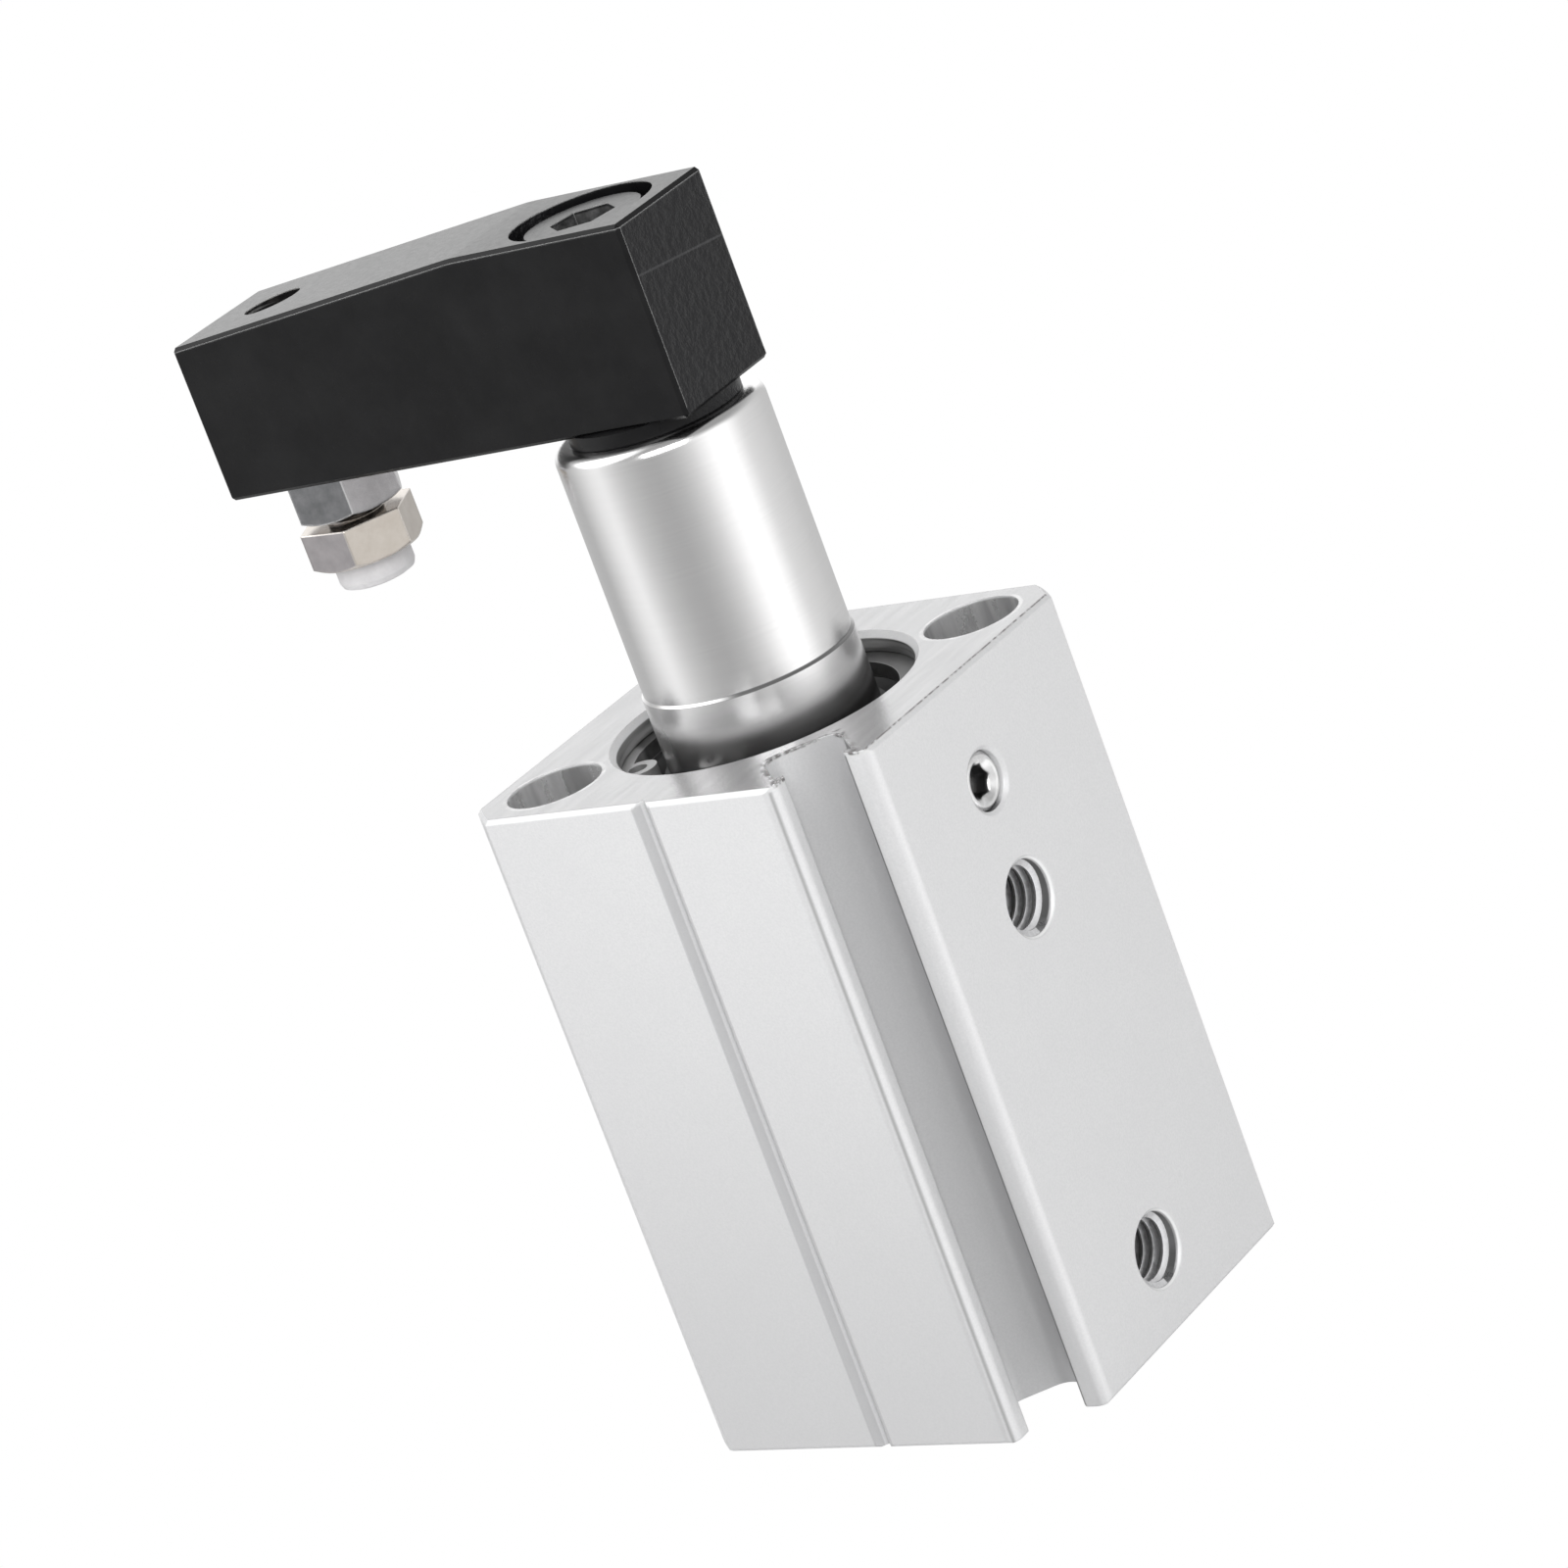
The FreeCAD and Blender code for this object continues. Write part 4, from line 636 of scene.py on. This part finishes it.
def lathe(name, outline, steps=144):
    """A piece turned about the Z axis from (radius, height) pairs in millimetres, capped at both ends."""
    points = [(radius * MM, height * MM) for radius, height in outline]
    radius, height = points[0]
    bpy.ops.object.select_all(action="DESELECT")
    bpy.ops.mesh.primitive_circle_add(vertices=steps, radius=radius, location=(0, 0, height))
    piece = bpy.context.object
    piece.name = name
    bpy.ops.object.transform_apply(location=True, rotation=True, scale=True)
    bpy.ops.object.mode_set(mode="EDIT")
    bpy.ops.mesh.select_all(action="SELECT")
    for next_radius, next_height in points[1:]:
        bpy.ops.mesh.extrude_region_move(TRANSFORM_OT_translate={"value": (0, 0, next_height - height)})
        share = next_radius / radius
        bpy.ops.transform.resize(value=(share, share, 1), center_override=(0, 0, next_height))
        radius, height = next_radius, next_height
    bpy.ops.mesh.select_all(action="SELECT")
    bpy.ops.mesh.remove_doubles(threshold=0.0000005)
    bpy.ops.mesh.select_all(action="DESELECT")
    bpy.ops.mesh.select_non_manifold()
    bpy.ops.mesh.fill_holes(sides=0)
    bpy.ops.mesh.select_all(action="SELECT")
    bpy.ops.mesh.normals_make_consistent(inside=False)
    bpy.ops.object.mode_set(mode="OBJECT")
    bpy.ops.object.shade_smooth_by_angle(angle=SMOOTH_BELOW)
    return piece


def combine(piece, tool, operation):
    """Cut a tool out of a piece, or join it on, and drop the tool."""
    select_only(piece)
    change = piece.modifiers.new(operation.lower(), "BOOLEAN")
    change.operation = operation
    change.solver = "EXACT"
    change.object = tool
    bpy.ops.object.modifier_apply(modifier=change.name)
    select_only(tool)
    bpy.ops.object.delete()
    select_only(piece)


def drill(piece, diameter, bottom, top, spot=(0, 0), turn=(0, 0, 0)):
    """A round hole through a piece, upright unless it is turned about its own middle."""
    bpy.ops.object.select_all(action="DESELECT")
    bpy.ops.mesh.primitive_cylinder_add(
        vertices=96, radius=diameter / 2 * MM, depth=(top - bottom) * MM,
        location=(spot[0] * MM, spot[1] * MM, (top + bottom) / 2 * MM), rotation=turn,
    )
    combine(piece, bpy.context.object, "DIFFERENCE")


chrome, tree, shader, spot = new_material("ground_chrome", 1.0, 0.20, (0.83, 0.825, 0.825))
x, y, z = split(tree, spot)
rings = use(tree, lines, Vector=spot, Stretch=(0.02, 0.02, 1), Size=0.00012, Low=0.3, High=0.7)
smudges = use(tree, speckle, Vector=spot, Size=0.005, Low=0.35, High=0.75)
below_step = spread(tree, z, 50.0 * MM, 49.6 * MM)
rough = math_node(tree, "MULTIPLY_ADD", below_step, 0.06, remap(tree, smudges, 0.18, 0.22))
link(tree, rough, shader.inputs["Roughness"])
base = blend_colors(tree, rings, (0.82, 0.815, 0.815), (0.84, 0.835, 0.835))
# Painted shade: the rod gets darker towards the body's recess.
painted_recess_shade = spread(tree, z, 48.8 * MM, 45.4 * MM)
base = blend_colors(tree, remap(tree, painted_recess_shade, 0.0, 0.6), base, (0.30, 0.295, 0.295))
# Painted shade: a band at the narrow step is darker on one side.
painted_step_shade = times(tree, spread(tree, off_by(tree, z, 49.78 * MM), 0.14 * MM, 0.08 * MM),
                spread(tree, leaning(tree, x, y, (0.77, 0.64)), -3.0 * MM, -1.0 * MM))
base = blend_colors(tree, remap(tree, painted_step_shade, 0.0, 0.8), base, (0.20, 0.20, 0.20))
link(tree, base, shader.inputs["Base Color"])
link(tree, raise_by(tree, rings, 0.0000002), shader.inputs["Normal"])

EDGE_ROUND = 0.9
END_RADIUS = 7.1
ROD_TOP = 66.9
arc = []
for step in range(11):
    angle = step * math.pi / 20
    arc.append((END_RADIUS - EDGE_ROUND + EDGE_ROUND * math.cos(angle),
                ROD_TOP - EDGE_ROUND + EDGE_ROUND * math.sin(angle)))
rod = lathe("piston_rod_turned", [
    (0.5, 47.36), (3.55, 46.5), (3.55, 21.9), (5.7, 21.9), (6.0, 22.2), (6.0, 27.45), (5.1, 27.45),
    (5.1, 28.55), (6.0, 28.55), (6.0, 29.9), (7.25, 29.9), (7.25, 49.7), (END_RADIUS, 49.85), *arc,
    (2.5, ROD_TOP), (2.5, 58.5),
])
drill(rod, diameter=2.5, bottom=21.6, top=27.6, spot=(0, 4.0), turn=(math.pi / 2, 0, 0))
select_only(rod)
bpy.ops.object.shade_smooth_by_angle(angle=SMOOTH_BELOW)
rod.data.materials.append(chrome)
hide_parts("piston_rod")
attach(rod, "rod")

# Clamp arm: milled from flat bar, with a sloping nose, broken edges, a turned hub below, a counterbore
# for the screw and a tapped hole near the tip. The arm and its screw are black oxide with an oily sheen,
# coarser and scribed on the end face. Thin bright lines are painted on side-face edges that turn upward,
# and on the end face's edges, as highlights; the screw's socket and the tip hole's thread crests get
# painted glints.

oxide, tree, shader, spot = new_material("black_oxide", 0.0, 0.30, (0.012, 0.012, 0.013))
x, y, z = split(tree, spot)
nx, _, nz = split(tree, node(tree, "ShaderNodeTexCoord").outputs["Normal"])
pits = use(tree, speckle, Vector=spot, Size=0.0004, Low=0.3, High=0.7)
patches = use(tree, speckle, Vector=spot, Size=0.0035, Low=0.35, High=0.75)
leather = use(tree, speckle, Vector=spot, Size=0.0007, Low=0.35, High=0.65)
end_face = spread(tree, nx, 0.8, 0.95)
upright = spread(tree, math_node(tree, "ABSOLUTE", nz), 0.35, 0.2)
tilted_up = spread(tree, use(tree, edges, output="Upward", Radius=0.0002), 0.06, 0.16)
# Painted highlight: bright lines on side-face edges that turn upward, and on the end face's edges.
painted_highlight = times(tree, use(tree, edges, Radius=0.0002), upright,
               math_node(tree, "MAXIMUM", end_face, tilted_up), spread(tree, z, 68.4 * MM, 68.6 * MM))
scribed_height = math_node(tree, "MULTIPLY_ADD", y, -0.11, 76.85 * MM)
scribed = times(tree, spread(tree, off_by(tree, z, scribed_height), 0.12 * MM, 0.02 * MM), end_face)
base = blend_colors(tree, patches, (0.0035, 0.0035, 0.004), (0.0085, 0.0085, 0.009))
base = blend_colors(tree, end_face, base, (0.011, 0.011, 0.012))
base = blend_colors(tree, scribed, base, (0.045, 0.045, 0.047))
base = blend_colors(tree, painted_highlight, base, (0.55, 0.55, 0.55))
glints = use(tree, speckle, Vector=spot, Size=0.0012, Low=0.25, High=0.85)
# Painted glints on the socket's walls.
socket = times(tree, spread(tree, reach(tree, x, y, (0, 0)), 2.6 * MM, 2.5 * MM),
               spread(tree, z, 80.4 * MM, 80.2 * MM), glints, upright)
base = blend_colors(tree, socket, base, (0.22, 0.22, 0.22))
# Painted glints on the crests of the tip hole's thread.
painted_crest_glints = use(tree, lines, Vector=spot, Stretch=(0.04, 0.04, 1), Size=0.0006, Low=0.4, High=0.6)
painted_thread_glints = times(tree, spread(tree, reach(tree, x, y, BOLT), 2.1 * MM, 2.05 * MM),
                spread(tree, z, 78.95 * MM, 78.75 * MM), painted_crest_glints)
base = blend_colors(tree, painted_thread_glints, base, (0.50, 0.50, 0.50))
link(tree, base, shader.inputs["Base Color"])
link(tree, remap(tree, pits, 0.27, 0.33), shader.inputs["Roughness"])
coarse = raise_by(tree, times(tree, leather, end_face), 0.00008, raise_by(tree, pits, 0.0000025))
link(tree, coarse, shader.inputs["Normal"])
link(tree, remap(tree, spread(tree, nz, 0.8, 0.95), 0.2, 0.75), shader.inputs["Specular IOR Level"])
dress(oxide, "arm_screw")

ARM_SIZE = (37.45 * MM, 10.4 * MM, 13.05 * MM)
ARM_MIDDLE = (-12.575 * MM, 0, 74.375 * MM)
NOSE_START = -7.3 * MM
NOSE_DROP = 2.15 * MM
ARM_TURN = math.radians(2.7)

bpy.ops.object.select_all(action="DESELECT")
bpy.ops.mesh.primitive_cube_add(size=1, location=ARM_MIDDLE, scale=ARM_SIZE)
arm = bpy.context.object
arm.name = "clamp_arm_milled"
bpy.ops.object.transform_apply(location=True, rotation=True, scale=True)
bpy.ops.object.mode_set(mode="EDIT")
bpy.ops.mesh.select_all(action="SELECT")
bpy.ops.mesh.bisect(plane_co=(NOSE_START, 0, 0), plane_no=(1, 0, 0))
bpy.ops.mesh.select_all(action="DESELECT")
bpy.ops.object.mode_set(mode="OBJECT")
for vertex in arm.data.vertices:
    vertex.select = vertex.co.x < -31 * MM and vertex.co.z > 80 * MM
bpy.ops.object.mode_set(mode="EDIT")
bpy.ops.transform.translate(value=(0, 0, -NOSE_DROP))
bpy.ops.mesh.select_all(action="DESELECT")
bpy.ops.mesh.edges_select_sharp(sharpness=math.radians(30))
bpy.ops.mesh.bevel(offset=0.25 * MM, segments=1)
bpy.ops.mesh.select_all(action="SELECT")
bpy.ops.mesh.normals_make_consistent(inside=False)
bpy.ops.object.mode_set(mode="OBJECT")
hub = lathe("arm_hub", [(5.7, 66.9), (5.8, 67.0), (5.8, 67.90), (4.9, 68.0), (4.9, 68.6)])
combine(arm, hub, "UNION")
drill(arm, diameter=9.6, bottom=75.5, top=82)
drill(arm, diameter=5.4, bottom=66, top=76)
drill(arm, diameter=4.0, bottom=66, top=82, spot=(-26.1, 0))
bake_place(arm, (0, 0, ARM_TURN), (0, 0, 0))
bpy.ops.object.shade_smooth_by_angle(angle=SMOOTH_BELOW)
arm.data.materials.clear()
arm.data.materials.append(oxide)
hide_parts("clamp_arm")
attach(arm, "rod")

# Port threads: one helical ridge in each port, cut by a tap to 0.8 mm pitch, the same aluminium as
# the body. A ridge's section is screwed along the port's axis and its ends are closed.


def helix_ridge(name, profile, pitch, turns, steps=48):
    """A closed helical ridge about the local Z axis, from (radius, height) pairs of its section."""
    bpy.ops.object.select_all(action="DESELECT")
    bpy.ops.mesh.primitive_circle_add(vertices=len(profile), fill_type="NOTHING")
    made = bpy.context.object
    made.name = name
    for corner, (radius, height) in zip(made.data.vertices, profile):
        corner.co = (radius, 0, height)
    screw = made.modifiers.new("screw", "SCREW")
    screw.axis = "Z"
    screw.angle = 2 * math.pi
    screw.screw_offset = pitch
    screw.iterations = turns
    screw.steps = steps
    screw.render_steps = steps
    screw.use_merge_vertices = True
    screw.merge_threshold = 0.000001
    bpy.ops.object.modifier_apply(modifier="screw")
    bpy.ops.object.mode_set(mode="EDIT")
    bpy.ops.mesh.select_all(action="DESELECT")
    bpy.ops.mesh.select_non_manifold()
    bpy.ops.mesh.fill_holes(sides=0)
    bpy.ops.mesh.select_all(action="SELECT")
    bpy.ops.mesh.normals_make_consistent(inside=False)
    bpy.ops.object.mode_set(mode="OBJECT")
    bpy.ops.object.shade_smooth_by_angle(angle=SMOOTH_BELOW)
    return made


tapped, tree, shader, spot = new_material("tapped_aluminium", 0.85, 0.34, (0.72, 0.72, 0.73))
tears = use(tree, speckle, Vector=spot, Size=0.0003, Low=0.3, High=0.7)
link(tree, blend_colors(tree, tears, (0.62, 0.62, 0.63), (0.80, 0.80, 0.81)), shader.inputs["Base Color"])
link(tree, remap(tree, tears, 0.28, 0.42), shader.inputs["Roughness"])
link(tree, raise_by(tree, tears, 0.000006), shader.inputs["Normal"])

RIDGE = ((2.68, -0.36), (2.13, -0.07), (2.13, 0.07), (2.68, 0.36))
PORT_PITCH = 0.8 * MM
INNER_END = 11.3 * MM

for name, level in zip(("rod_side_port_thread", "head_side_port_thread"), PORT_LEVELS):
    thread = helix_ridge(name, [(r * MM, z * MM) for r, z in RIDGE], PORT_PITCH, turns=4)
    bake_place(thread, (0, math.pi / 2, 0), (INNER_END, 0, level * MM))
    thread.data.materials.append(tapped)
    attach(thread, "cylinder")
